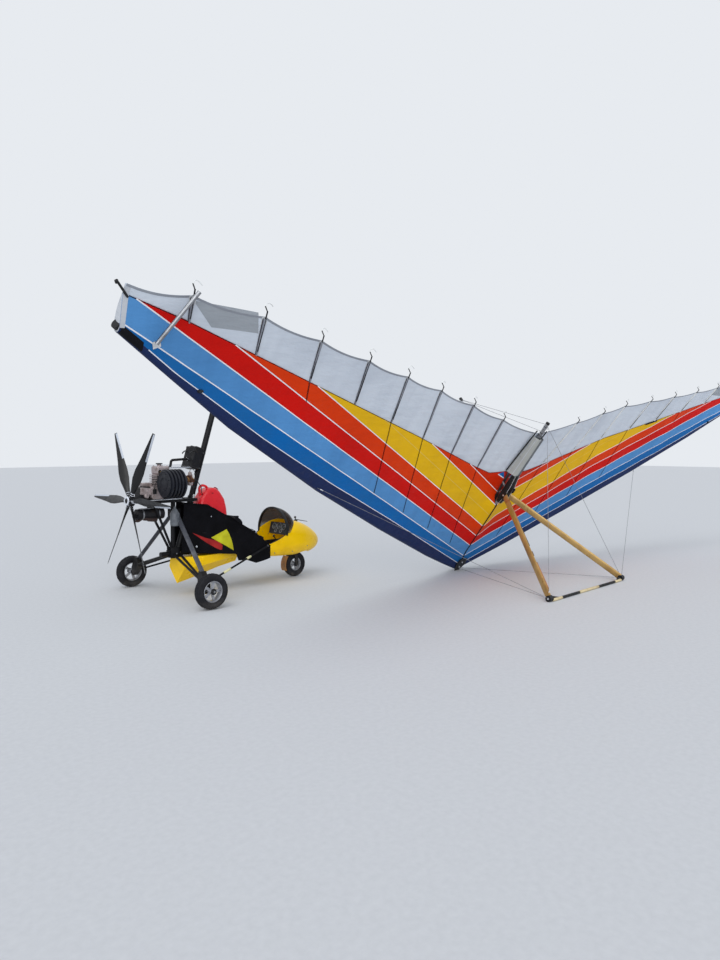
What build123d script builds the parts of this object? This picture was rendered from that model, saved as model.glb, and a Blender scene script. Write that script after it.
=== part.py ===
from build123d import *
from math import cos, sin, radians
import os

# Single-seat weight-shift microlight, parked with its wing unhooked. The trike stands on its three
# wheels, and the wing rests nose down beside it, on its nose plate and on the ends of its base bar.
# Millimetres. +X is the way the trike faces and the wing's span, +Y the trike's left, +Z up.
# The origin is the middle of the whole outline, on the ground.

# Where the two halves stand
TRIKE_X = -3350
TRIKE_Y = 1020
WING_X = 0
WING_Y = -40
WING_Z = 30
NOSE_DOWN = 53.5

# Wheels and undercarriage
TRACK = 1545
AXLE_X = 26
FRONT_X = 1684
REAR_TYRE = 340
REAR_TYRE_WIDTH = 96
REAR_RIM = 200
FRONT_TYRE = 296
FRONT_TYRE_WIDTH = 80
FRONT_RIM = 150
AXLE = 20
RUNNING_FIT = 0.06

# Frame of the trike, as points forward of the rear axle, to the left and above the ground
KEEL_HEIGHT = 440
KEEL_TUBE = 54
MAST_FOOT = (126, 0, KEEL_HEIGHT)
MAST_TOP = (736, 0, 2400)
MAST_TUBE = 60
LEG_ROOT = (105, 850)
RAIL_HEIGHT = 985
RAIL_TUBE = 30

# Engine and propeller
SHAFT_HEIGHT = 1002
HUB_X = -380
THRUST_TILT = 4.1
BLADES = 6
PROP_RADIUS = 758
FIRST_BLADE = -28.7

# Pod
POD_WALL = 6
POD_REAR = 1140

# Wing, in its own frame: right, forward and up from the nose, as it flies
SPAN_HALF = 5200
ROOT_GAP = 14
SKIN = 5
KEEL_LENGTH = 2185
APEX_AFT = 1209
BAR_AFT = 1072
BAR_DROP = 1447
BAR_HALF = 792
DOWNTUBE_CHORD = 72
DOWNTUBE_THICKNESS = 28
KINGPOST_TOP = (0, -1731, 1147)

os.makedirs("parts", exist_ok=True)
trike = Pos(TRIKE_X, TRIKE_Y, 0)
wing = Pos(WING_X, WING_Y, WING_Z) * Rot(-NOSE_DOWN, 0, 0)
UP = Vector(0, 0, 1)


def write(node, place, *pieces):
    """Places the pieces of one node and writes them."""
    placed = [place * piece for piece in pieces]
    shape = placed[0] if len(placed) == 1 else Compound(children=placed)
    shape.label = node
    export_step(shape, f"parts/{node}.step")


def rod(start, end, diameter, bore=0):
    """A round bar or tube from start to end."""
    start, end = Vector(*start), Vector(*end)
    run = end - start
    plane = Plane(origin=start, z_dir=run.normalized())
    low = (Align.CENTER, Align.CENTER, Align.MIN)
    bar = plane * Cylinder(diameter / 2, run.length, align=low)
    if bore:
        bar -= plane * Cylinder(bore / 2, run.length, align=low)
    return bar


def blade_tube(start, end, chord, thickness, ahead=(1, 0, 0)):
    """A streamlined tube, with its chord lying ahead as far as its run allows."""
    start, end, ahead = Vector(*start), Vector(*end), Vector(*ahead)
    run = end - start
    along = run.normalized()
    forward = (ahead - along * along.dot(ahead)).normalized()
    section = Plane(origin=start, x_dir=forward, z_dir=along) * Ellipse(chord / 2, thickness / 2)
    return extrude(section, run.length)


def slab(outline, plane, thickness):
    """A flat plate of the outline, thick to both sides of its plane."""
    return extrude(plane * make_face(Polyline(*outline, close=True)), thickness / 2, both=True)


def side_plate(outline, y, thickness):
    """A plate cut to an outline of forward and height values, standing at y."""
    points = [(x, y, z) for x, z in outline]
    return extrude(make_face(Polyline(*points, close=True)), thickness / 2, dir=(0, 1, 0), both=True)


# Wheels, about the Y axis at the middle of each


def tyre(outer, width, rim):
    """A tyre with straight beads, bulging walls and a crowned tread."""
    bead = width * 0.34
    shoulder = outer / 2 * 0.93
    middle = (rim + shoulder) / 2
    half = width / 2
    section = [
        Line((rim, -bead), (rim, bead)),
        ThreePointArc((rim, bead), (middle, half), (shoulder, half * 0.84)),
        ThreePointArc((shoulder, half * 0.84), (outer / 2, 0), (shoulder, -half * 0.84)),
        ThreePointArc((shoulder, -half * 0.84), (middle, -half), (rim, -bead)),
    ]
    return revolve(make_face(section), Axis.Y)


def wheel_rim(rim, width, spokes):
    """A cast wheel: barrel with two lips, hub bored for the axle, and spokes between them."""
    bead = width * 0.34
    wall = 5
    barrel = [(rim, -bead), (rim, bead), (rim - wall, bead), (rim - 2.5 * wall, bead * 0.6)]
    barrel += [(rim - 2.5 * wall, -bead * 0.6), (rim - wall, -bead)]
    shape = revolve(make_face(Polyline(*barrel, close=True)), Axis.Y)
    across = Rot(90, 0, 0)
    hub_radius = AXLE * 1.15
    shape += across * Cylinder(hub_radius, width * 0.8)
    reach = rim - 2.2 * wall - hub_radius * 0.8
    for turn in range(spokes):
        angle = 360 * turn / spokes
        spoke = Box(reach, 10, rim * 0.26, align=(Align.MIN, Align.CENTER, Align.CENTER))
        shape += Rot(0, angle, 0) * Pos(hub_radius * 0.8, 0, 0) * spoke
    return shape - across * Cylinder(AXLE / 2 + RUNNING_FIT, width)


rear_tyre = tyre(REAR_TYRE, REAR_TYRE_WIDTH, REAR_RIM / 2)
rear_rim = wheel_rim(REAR_RIM / 2, REAR_TYRE_WIDTH, 5)
for side, y in (("left", TRACK / 2), ("right", -TRACK / 2)):
    place = trike * Pos(AXLE_X, y, REAR_TYRE / 2)
    write(f"rear_tyre_{side}", place, rear_tyre)
    write(f"rear_rim_{side}", place, rear_rim)
front_place = trike * Pos(FRONT_X, 0, FRONT_TYRE / 2)
write("front_tyre", front_place, tyre(FRONT_TYRE, FRONT_TYRE_WIDTH, FRONT_RIM / 2))
write("front_rim", front_place, wheel_rim(FRONT_RIM / 2, FRONT_TYRE_WIDTH, 5))

# Frame: keel, mast, engine rails, legs, axle struts and drag struts

lean = Vector(*MAST_TOP) - Vector(*MAST_FOOT)


def on_mast(height):
    """The point of the mast's axis at a height."""
    return Vector(*MAST_FOOT) + lean * ((height - MAST_FOOT[2]) / lean.Z)


HEAD_X = FRONT_X - 42
RAKE = 0.13
STEM = 24


def on_head(height):
    """The point of the steering axis at a height."""
    return Vector(HEAD_X - RAKE * (height - KEEL_HEIGHT), 0, height)


keel = rod((-60, 0, KEEL_HEIGHT), (HEAD_X, 0, KEEL_HEIGHT), KEEL_TUBE)
keel += rod(on_head(KEEL_HEIGHT - 90), on_head(KEEL_HEIGHT + 70), 46)
keel += Pos(100, 0, KEEL_HEIGHT) * Box(150, 70, 70)
keel -= rod(on_head(KEEL_HEIGHT - 110), on_head(KEEL_HEIGHT + 90), STEM + 2 * RUNNING_FIT)
mast = rod(on_mast(KEEL_HEIGHT), MAST_TOP, MAST_TUBE)
mast -= Pos(100, 0, KEEL_HEIGHT - 165) * Box(400, 200, 400)
write("keel_tube", trike, keel)
write("mast", trike, mast)

bolt_height = 2440
cheek = [(680, 2290), (755, 2290), (782, 2440), (767, 2470), (727, 2470), (702, 2440)]
cheek_gap = MAST_TUBE / 2 + 4
hang = side_plate(cheek, cheek_gap, 8) + side_plate(cheek, -cheek_gap, 8)
HANG_X = 744
hang -= Pos(HANG_X, 0, bolt_height) * Rot(90, 0, 0) * Cylinder(5.1, 200)
write("mast_hang_bracket", trike, hang)

RAIL_REAR = -310
RAIL_SPREAD = 80
rail_front = on_mast(RAIL_HEIGHT).X + 20
rail_frame = Pos(-80, 0, RAIL_HEIGHT + 19) * Box(430, 200, 12)
rail_length = rail_front - RAIL_REAR
for y in (RAIL_SPREAD, -RAIL_SPREAD):
    rail_frame += Pos((RAIL_REAR + rail_front) / 2, y, RAIL_HEIGHT) * Box(rail_length, RAIL_TUBE, RAIL_TUBE)
for x in (-280, -150, 80, rail_front - 55):
    rail_frame += Pos(x, 0, RAIL_HEIGHT) * Box(26, 2 * RAIL_SPREAD, RAIL_TUBE)
rail_frame += rod(on_mast(RAIL_HEIGHT - 30), on_mast(RAIL_HEIGHT + 30), MAST_TUBE + 14)
rail_frame -= mast
pylon_top, pylon_foot = (88, 0, RAIL_HEIGHT - RAIL_TUBE / 2), (80, 0, KEEL_HEIGHT)
pylon = rod(pylon_foot, pylon_top, 46) + Pos(LEG_ROOT[0] - 8, 0, LEG_ROOT[1]) * Box(84, 74, 60)
braces = []
for side in (1, -1):
    braces.append(rod((-172, side * 80, RAIL_HEIGHT - 8), (62, side * 26, KEEL_HEIGHT + 30), 25))
pylon = pylon - keel - mast - rail_frame
braces = [brace - keel - rail_frame - pylon for brace in braces]
write("engine_rails", trike, rail_frame)
write("engine_pylon", trike, pylon)
write("rear_braces", trike, *braces)

AXLE_Z = REAR_TYRE / 2
axle_end = TRACK / 2 + REAR_TYRE_WIDTH / 2 + 4
inner_end = TRACK / 2 - REAR_TYRE_WIDTH / 2 - 8
# a knuckle seen from behind, as distances in from the wheel and heights above the axle
KNUCKLE = ((0, -30), (0, 60), (70, 172), (118, 172), (136, 120), (136, 66), (40, -30))
# forward, half width and height of the bolt that holds a drag strut to the seat frame
DRAG_EYE = (1080, 270, 448)
legs, struts, drags = [], [], []
for side in (1, -1):
    profile = [(AXLE_X, side * (inner_end - y), AXLE_Z + z) for y, z in KNUCKLE]
    knuckle = extrude(make_face(Polyline(*profile, close=True)), 28, dir=(1, 0, 0), both=True)
    knuckle += rod((AXLE_X, side * (inner_end - 10), AXLE_Z), (AXLE_X, side * axle_end, AXLE_Z), AXLE)
    for x, lift in ((-34, 8), (38, -8)):
        outer = (AXLE_X + x * 0.5, side * (inner_end - 124), AXLE_Z + 90 + lift)
        knuckle += rod((104 + x, side * 30, KEEL_HEIGHT - 6), outer, 26)
    struts.append(knuckle - keel)
    foot = (AXLE_X + 4, side * (inner_end - 92), AXLE_Z + 150)
    legs.append(blade_tube((LEG_ROOT[0], side * 30, LEG_ROOT[1] + 6), foot, 54, 25))
    drag_end = (AXLE_X + 20, side * (inner_end - 96), AXLE_Z + 38)
    eye_x, eye_half, eye_z = DRAG_EYE
    drag = rod(drag_end, (eye_x + 14, side * eye_half, eye_z), 19)
    drag += rod((eye_x, side * 226, eye_z), (eye_x, side * (eye_half + 12), eye_z), 14)
    drags.append(drag - knuckle)
legs = [leg - pylon - strut for leg, strut in zip(legs, struts)]
write("gear_legs", trike, *legs)
write("axle_struts", trike, *struts)
write("drag_struts", trike, *drags)

# Steering: fork, foot bar and mudguard turn together in the head tube

FORK_GAP = FRONT_TYRE_WIDTH / 2 + 9
front_axle = (FRONT_X, 0, FRONT_TYRE / 2)
crown_z = FRONT_TYRE + 22
fork = rod(on_head(crown_z), on_head(KEEL_HEIGHT + 92), STEM)
fork += Pos(HEAD_X + 18, 0, crown_z + 6) * Box(70, 2 * FORK_GAP + 24, 16)
for side in (1, -1):
    ear = [(HEAD_X - 12, crown_z + 8), (HEAD_X + 44, crown_z + 8), (FRONT_X + 17, FRONT_TYRE / 2 + 25)]
    ear += [(FRONT_X + 17, FRONT_TYRE / 2 - 12), (FRONT_X - 17, FRONT_TYRE / 2 - 12)]
    fork += side_plate(ear, side * (FORK_GAP + 4), 8)
fork += rod((FRONT_X, -FORK_GAP - 12, FRONT_TYRE / 2), (FRONT_X, FORK_GAP + 12, FRONT_TYRE / 2), AXLE)
bar_z = KEEL_HEIGHT + 92
foot_bar = rod((HEAD_X - 10, -185, bar_z), (HEAD_X - 10, 185, bar_z), 22)
fork -= foot_bar
write("front_fork", trike, fork)
write("foot_bar", trike, foot_bar)
guard_radius = FRONT_TYRE / 2 + 12
guard = Rot(90, 0, 0) * (Cylinder(guard_radius + 3, 92) - Cylinder(guard_radius, 100))
guard = Pos(*front_axle) * guard
guard &= Pos(FRONT_X - 150, 0, FRONT_TYRE / 2 + 20) * Box(200, 200, 170)
write("mudguard", trike, guard - fork)

# Pod: a shell with the cockpit cut open, over the front of the keel

# forward, foot, top, half width, corner radius
POD_SECTIONS = (
    (1140, 312, 560, 240, 95),
    (1340, 292, 672, 256, 130),
    (1580, 278, 676, 246, 150),
    (1800, 282, 600, 190, 130),
    (1950, 322, 508, 112, 80),
    (2020, 368, 440, 42, 34),
)


def pod_body(inset):
    """The pod's closed form, drawn in by inset."""
    faces = []
    for x, foot, top, half, corner in POD_SECTIONS:
        plane = Plane(origin=(x, 0, (foot + top) / 2), x_dir=(0, 1, 0), z_dir=(1, 0, 0))
        wide = 2 * (half - inset)
        high = top - foot - 2 * inset
        faces.append(plane * RectangleRounded(wide, high, min(corner, high / 2 - 1, wide / 2 - 1)))
    return loft(faces)


pod_outer = pod_body(0)
# the cockpit's lip, as forward and height, and the bubble of the windscreen ahead of it
LIP = ((1100, 452), (1130, 457), (1223, 480), (1318, 523), (1376, 548), (1376, 800), (1100, 800))
SCREEN_X, SCREEN_Z = 1360, 572
SCREEN_RADIUS = 264
SCREEN_SHELL = 4
FRAME_BAND = 16


def bubble(radius, foot, front=0):
    """A ball about the windscreen's middle, cut off below foot and behind front."""
    ball = Pos(SCREEN_X, 0, SCREEN_Z) * Sphere(radius)
    return ball & Pos(SCREEN_X + front + 400, 0, foot + 400) * Box(800, 800, 800)


pod = pod_outer - pod_body(POD_WALL) - side_plate(LIP, 0, 700)
pod -= bubble(SCREEN_RADIUS - 12, 548)
pod -= Pos(POD_REAR - 10, 0, 440) * Box(40, 420, 180)
pod -= Pos(FRONT_X - 20, 0, 300) * Cylinder(180, 100)
write("pod_shell", trike, pod)

arch = bubble(SCREEN_RADIUS + 5, 530) - bubble(SCREEN_RADIUS - 8, 500) - pod_outer
arch -= Pos(SCREEN_X + FRAME_BAND + 400, 0, 700) * Box(800, 800, 800)
dome = bubble(SCREEN_RADIUS, 556, FRAME_BAND) - bubble(SCREEN_RADIUS - SCREEN_SHELL, 500) - pod_outer
write("windscreen", trike, dome)
write("windscreen_frame", trike, arch)
panel_plate = side_plate([(1440, 520), (1462, 520), (1496, 650), (1474, 650)], 0, 330)
write("instrument_panel", trike, panel_plate & pod_body(POD_WALL))

# Belly fairing under the keel, closed, vee-bottomed, with a flat triangular tail

BELLY_TOP = 404
# forward, foot, half width at the chine, half width at the top
BELLY_SECTIONS = ((122, 128, 146, 112), (340, 172, 154, 158), (610, 238, 118, 126), (850, 280, 44, 52))
belly_faces = []
for x, foot, chine_half, half in BELLY_SECTIONS:
    chine = BELLY_TOP - 0.42 * (BELLY_TOP - foot)
    ring = [(x, half, BELLY_TOP), (x, chine_half, chine), (x, 0, foot)]
    ring += [(x, -chine_half, chine), (x, -half, BELLY_TOP)]
    belly_faces.append(make_face(Polyline(*ring, close=True)))
belly = loft(belly_faces, ruled=True)
for strut in struts:
    belly -= strut
write("belly_fairing", trike, belly)

# Seat, its frame, the fabric side panels and the fuel tank behind the seat

# forward, height and half width of the frame's bends
FRAME_BENDS = ((265, 925, 96), (580, 780, 188), (1120, 422, 234))
seat_frame = rod((1080, -232, 452), (1080, 232, 452), 22)
seat_frame += Pos(500, 0, 640) * Box(320, 300, 10)
for side in (1, -1):
    path = [(x, side * y, z) for x, z, y in FRAME_BENDS]
    seat_frame += rod(path[0], path[1], 25) + Pos(*path[1]) * Sphere(12.5) + rod(path[1], path[2], 25)
    seat_frame += rod((560, side * 138, 640), (600, side * 190, 770), 16)
    seat_frame += rod((380, side * 138, 640), (330, side * 116, 895), 16)
    seat_frame += rod((265, side * 96, 925), (on_mast(925).X, side * 20, 925), 20)
seat_frame = seat_frame - mast - keel - drags[0] - drags[1]
write("seat_frame", trike, seat_frame)
seat_side = [(800, 478), (716, 762), (734, 796), (776, 786), (868, 580), (892, 555)]
seat_side += [(1050, 558), (1130, 530), (1130, 478)]
seat = side_plate(seat_side, 0, 360)
seat = fillet(seat.edges().filter_by(Axis.Y), 12)
write("seat", trike, seat - seat_frame)

SKIRT_SIDE = [(168, 986), (340, 955), (580, 815), (830, 640), (1132, 436), (1132, 306)]
SKIRT_SIDE += [(1056, 288), (948, 270), (832, 314), (728, 320), (704, 392), (138, 452)]
# forward and half width along the panel's plan
SKIRT_PLAN = ((110, 58), (580, 212), (1140, 258))
panels = []
for side, drag in zip((1, -1), drags):
    inner = [(x, side * (y - 4)) for x, y in SKIRT_PLAN]
    outer = [(x, side * (y + 4)) for x, y in reversed(SKIRT_PLAN)]
    bent_wall = extrude(make_face(Polyline(*inner, *outer, close=True)), 1200)
    panel = (side_plate(SKIRT_SIDE, 0, 700) & bent_wall) - keel - mast - rail_frame
    panels.append(panel - seat_frame - drag)
write("side_panels", trike, *panels)

tank_side = [(352, 645), (690, 645), (672, 800), (640, 900)]
tank_side += [(552, 1040), (500, 1074), (400, 1074), (352, 1000)]
tank = fillet(side_plate(tank_side, 0, 176).edges(), 18)
tank += Pos(440, 0, 1090) * Box(112, 26, 80) - Pos(440, 0, 1094) * Box(76, 40, 44)
tank += rod((548, 0, 1010), (584, 0, 1052), 54)
write("fuel_tank", trike, tank)

# Engine: two-stroke with its cooling drum, radiator and silencer; drive to the propeller behind

BASE = RAIL_HEIGHT + 25
SHAFT = 24
thrust_line = Pos(HUB_X, 0, SHAFT_HEIGHT) * Rot(0, THRUST_TILT, 0)
CYLINDER_X = -62
crankcase = Pos(-92, 0, BASE + 62) * Box(200, 170, 124)
crankcase = fillet(crankcase.edges().filter_by(Axis.Y), 22)
cylinder = Pos(CYLINDER_X, 0, BASE + 184) * Box(104, 104, 120)
for level in range(7):
    cylinder += Pos(CYLINDER_X, 0, BASE + 134 + 17 * level) * Box(140, 146, 7)
head = Pos(CYLINDER_X + 12, 0, BASE + 284) * Box(134, 134, 80)
head = fillet(head.edges(), 16)
head += Pos(CYLINDER_X, 0, BASE + 330) * Cylinder(20, 30)
write("engine_crankcase", trike, crankcase)
write("engine_cylinder", trike, cylinder)
write("engine_head", trike, head)
# The drum lies beside the engine and is held by a bracket on the crankcase's right wall
DRUM_Y, DRUM_Z = -236, BASE + 155
DRUM_REAR, DRUM_FRONT = -148, 38
drum = rod((DRUM_REAR, DRUM_Y, DRUM_Z), (DRUM_FRONT, DRUM_Y, DRUM_Z), 250)
for ring in range(5):
    x = DRUM_REAR + 21 + ring * 36
    drum += rod((x - 8, DRUM_Y, DRUM_Z), (x + 8, DRUM_Y, DRUM_Z), 288)
drum += Pos(-74, -130, BASE + 92) * Box(60, 110, 30)
write("intake_drum", trike, drum - crankcase)
case_side = [(-300, BASE), (-205, BASE), (-192, BASE + 130), (-300, BASE + 120)]
gear_case = fillet(side_plate(case_side, 0, 120).edges().filter_by(Axis.Y), 16)
shaft = rod((30, 0, 0), (110, 0, 0), 52) + rod((-20, 0, 0), (40, 0, 0), SHAFT)
gear_case += thrust_line * shaft
gear_case -= rail_frame
write("gearbox", trike, gear_case - crankcase - cylinder)
# It breathes through a carburettor off its front face, close beside the mast
carb = rod((DRUM_FRONT, -186, DRUM_Z + 14), (202, -138, DRUM_Z + 36), 58)
carb += rod((180, -145, DRUM_Z + 33), (232, -130, DRUM_Z + 40), 86)
write("carburettor", trike, carb - mast - drum)
radiator = Pos(322, 0, 1412) * Rot(0, 18, 0) * Box(90, 190, 215)
radiator -= mast
write("radiator", trike, radiator)
hose_start = CYLINDER_X + 12 + 134 / 2
HOSE_Z = BASE + 309
hose_bends = [(hose_start, 0, HOSE_Z), (hose_start + 44, 0, HOSE_Z)]
hose_bends += [(hose_start + 58, 0, 1392), (300, 0, 1404)]
hose_path = FilletPolyline(*hose_bends, radius=26)
hose = sweep(Plane(origin=hose_path @ 0, z_dir=hose_path % 0) * Circle(13), path=hose_path)
write("coolant_hose", trike, hose - radiator - head)
MUFFLER_Z = 862
muffler = rod((-318, 0, MUFFLER_Z), (-34, 0, MUFFLER_Z), 110)
muffler += rod((-110, 0, MUFFLER_Z), (-110, 0, RAIL_HEIGHT + 13), 40)
muffler += rod((-352, 0, MUFFLER_Z - 12), (-310, 0, MUFFLER_Z - 12), 34)
write("muffler", trike, muffler - rail_frame - pylon - braces[0] - braces[1])

# Propeller: six tapered twisted blades seated on the flats of the hub

HUB_FLAT = 58
across_flats = RegularPolygon(HUB_FLAT, BLADES, major_radius=False, rotation=30)
hub = extrude(Plane(origin=(-22, 0, 0), x_dir=(0, 0, 1), z_dir=(1, 0, 0)) * across_flats, 44)
hub -= rod((-30, 0, 0), (30, 0, 0), SHAFT + 2 * RUNNING_FIT)
hub += rod((-34, 0, 0), (-22, 0, 0), 70)
write("propeller_hub", trike, thrust_line * Rot(FIRST_BLADE, 0, 0) * hub)

# radius, chord, thickness, pitch in degrees
BLADE_SECTIONS = (
    (HUB_FLAT, 34, 30, 46),
    (130, 56, 22, 42),
    (240, 96, 15, 37),
    (330, 100, 13, 34),
    (450, 76, 10, 31),
    (PROP_RADIUS, 30, 4, 28),
)


def blade():
    """One blade standing up from the hub, its leading edge to the right seen from behind."""
    faces = []
    for radius, chord, thickness, pitch in BLADE_SECTIONS:
        lead = Vector(sin(radians(pitch)), -cos(radians(pitch)), 0)
        plane = Plane(origin=(0, 0, radius), x_dir=lead, z_dir=UP)
        front, back = (chord * 0.42, 0), (-chord * 0.58, 0)
        outline = [ThreePointArc(front, (0, thickness * 0.6), back)]
        outline += [ThreePointArc(back, (0, -thickness * 0.4), front)]
        faces.append(plane * make_face(outline))
    return loft(faces, ruled=True)


one_blade = blade()
blades = []
for number in range(BLADES):
    turn = FIRST_BLADE + 360 * number / BLADES
    blades.append(thrust_line * Rot(turn, 0, 0) * one_blade)
write("propeller_blades", trike, *blades)

# Wing, modelled level in its own frame. Stations across one half:
# span, leading edge aft, its underside's height, trailing edge aft and its height,
# the double surface's rear edge aft and its height, the crest's height
STATIONS = (
    (ROOT_GAP, 0, -60, 2030, 30, 1468, 70, 128),
    (362, 150, -59, 2092, 48, 1436, 89, 131),
    (772, 326, -58, 2165, 70, 1550, 100, 134),
    (1887, 850, -50, 2400, 150, 1897, 138, 140),
    (3014, 1408, -42, 2635, 105, 2248, 104, 118),
    (4166, 2040, -36, 2875, 76, 2606, 80, 86),
    (4741, 2400, -34, 2945, 62, 2785, 60, 62),
    (SPAN_HALF - 20, 2680, -34, 2955, 48, 2900, 46, 48),
)
TRAIL, RISE, EDGE, EDGE_RISE = range(3, 7)
LE_HIGH = 36
NOSE_DEPTH = 36


def body_section(span, lead, foot, trail, rise, edge, edge_rise, crest):
    """The double-surface body's section: round nose, flat underside and arched top."""
    nose_top = (-lead - NOSE_DEPTH, LE_HIGH)
    nose_low = (-lead - NOSE_DEPTH, foot)
    rear = (-edge, edge_rise - SKIN)
    peak = (-(lead + 0.4 * (edge - lead)), crest)
    plane = Plane(origin=(span, 0, 0), x_dir=(0, 1, 0), z_dir=(1, 0, 0))
    outline = [
        ThreePointArc(nose_low, (-lead, 0), nose_top),
        ThreePointArc(nose_top, peak, rear),
        Line(rear, nose_low),
    ]
    return plane * make_face(outline)


def skin_section(span, lead, foot, trail, rise, edge, edge_rise, crest):
    """The upper surface's section, from the nose's top over the body and out to the trailing edge."""
    nose_top = (-lead - NOSE_DEPTH, LE_HIGH)
    rear = (-edge, edge_rise - SKIN)
    peak = (-(lead + 0.4 * (edge - lead)), crest)
    plane = Plane(origin=(span, 0, 0), x_dir=(0, 1, 0), z_dir=(1, 0, 0))
    outline = [
        ThreePointArc(nose_top, peak, rear),
        Line(rear, (-trail, rise - SKIN)),
        Line((-trail, rise - SKIN), (-trail, rise)),
        Line((-trail, rise), (-edge, edge_rise)),
        ThreePointArc((-edge, edge_rise), (peak[0], crest + SKIN), (nose_top[0], LE_HIGH + SKIN)),
        Line((nose_top[0], LE_HIGH + SKIN), nose_top),
    ]
    return plane * make_face(outline)


half_body = loft([body_section(*row) for row in STATIONS], ruled=True)
half_skin = loft([skin_section(*row) for row in STATIONS], ruled=True)


def seam_wall(seam, far=9000):
    """A tall block behind a seam line, for cutting the body into its panels."""
    line = [(x, -aft) for x, aft in seam]
    wall = make_face(Polyline(*line, (line[-1][0], -far), (line[0][0], -far), close=True))
    return Pos(0, 0, -400) * extrude(wall, 900)


def straight_seam(at_keel):
    """A seam that runs out and aft from the keel, parallel to its neighbours."""
    return [(x, at_keel + SEAM_SLOPE * x) for x in (-200, SPAN_HALF + 800)]


# The first seam follows the bow of the leading edge, as span and aft; the others are straight
NAVY_SEAM = [(-200, 8), (1681, 919), (2925, 1508), (3823, 1958), (4741, 2462), (5190, 2742), (6000, 3280)]
SEAM_SLOPE = 0.487
# panel of the lower surface, and how far aft of the nose its rear seam meets the keel
PANELS = (
    ("blue", 230),
    ("sky", 395),
    ("red", 550),
    ("orange", 705),
    ("yellow", 1025),
)
wall = seam_wall(NAVY_SEAM)
panels_made = {"navy": half_body - wall}
rest = half_body & wall
for colour, at_keel in PANELS:
    wall = seam_wall(straight_seam(at_keel))
    panels_made[colour] = rest - wall
    rest = rest & wall
panels_made["aft_red"] = rest
for colour, panel in panels_made.items():
    other = mirror(panel, about=Plane.YZ)
    write(f"sail_{colour}", wing, *panel.solids(), *other.solids())

# The trailing edge is scalloped between the batten ends
# span, aft of each batten end
BATTENS = ((30, 2030), (772, 2165), (1342, 2290), (1887, 2400), (2453, 2517))
BATTENS += ((3014, 2635), (3596, 2757), (4166, 2875), (4741, 2945), (5165, 2955))
SCALLOP = 26
for (x0, aft0), (x1, aft1) in zip(BATTENS[:-1], BATTENS[1:]):
    middle = ((x0 + x1) / 2, -(aft0 + aft1) / 2 + SCALLOP)
    start, end = (x0, -aft0 - 1), (x1, -aft1 - 1)
    bite = [ThreePointArc(start, middle, end)]
    bite.append(Polyline(end, (x1, -aft1 - 90), (x0, -aft0 - 90), start))
    half_skin -= Pos(0, 0, -200) * extrude(make_face(bite), 600)
write("sail_upper_right", wing, half_skin)
write("sail_upper_left", wing, mirror(half_skin, about=Plane.YZ))


def station_value(span, column):
    """A station column's value at any span, between its neighbours."""
    for low, high in zip(STATIONS[:-1], STATIONS[1:]):
        if span <= high[0]:
            part = (span - low[0]) / (high[0] - low[0])
            return low[column] + part * (high[column] - low[column])
    return STATIONS[-1][column]


# battens lean in towards the nose as they run forward
BATTEN_TOE = 0.18
BATTEN_TUBE = 10
batten_rods = []
for span, aft in BATTENS[1:-1]:
    edge = station_value(span, EDGE)
    drop = SKIN + BATTEN_TUBE / 2 + 2
    edge_rise = station_value(span, EDGE_RISE) - drop
    fall = (edge_rise + drop - station_value(span, RISE)) / (station_value(span, TRAIL) - edge)
    start = (span - BATTEN_TOE * (aft - edge - 12), -edge - 12, edge_rise - 12 * fall)
    end = (span + BATTEN_TOE * 42, -aft - 42, edge_rise - (aft + 42 - edge) * fall)
    hook = rod((end[0], end[1] + 2, end[2]), (end[0], end[1] - 16, end[2] + 40), 8)
    batten = rod(start, end, BATTEN_TUBE) + hook - half_skin - half_body
    batten_rods += [batten, mirror(batten, about=Plane.YZ)]
for side in (1, -1):
    batten_rods.append(rod((side * 112, -1486, 55), (side * 104, -2075, 4), 14) - half_skin - half_body)
write("battens", wing, *[solid for batten in batten_rods for solid in batten.solids()])

tip_strut = rod((4937, -2654, -48), (4735, -2990, 18), 26) - half_body - half_skin
write("tip_struts", wing, tip_strut, mirror(tip_strut, about=Plane.YZ))
tip_cap = rod((5150, -2702, 2), (5190, -2728, 2), 60) - half_body - half_skin
tip_stick = rod((5150, -2882, 30), (5236, -2966, 44), 13) - half_body - half_skin
tip_pieces = []
for piece in (tip_cap, tip_stick):
    tip_pieces += [piece, mirror(piece, about=Plane.YZ)]
write("tip_caps", wing, *tip_pieces)

# Keel, nose plate, control frame and kingpost
nose_outline = [(-95, -120), (-44, -15), (44, -15), (95, -120), (60, -205), (-60, -205)]
nose_plate = slab(nose_outline, Plane.XY.offset(-66), 8)
nose_plate += Pos(0, -95, -50) * Box(60, 110, 28)
keel_bar = rod((0, -30, -2), (0, -KEEL_LENGTH, -2), 42)
for piece in (half_body, half_skin):
    keel_bar = keel_bar - piece - mirror(piece, about=Plane.YZ)
write("wing_keel", wing, *keel_bar.solids())
write("nose_plate", wing, nose_plate - keel_bar - half_body - mirror(half_body, about=Plane.YZ))

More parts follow.
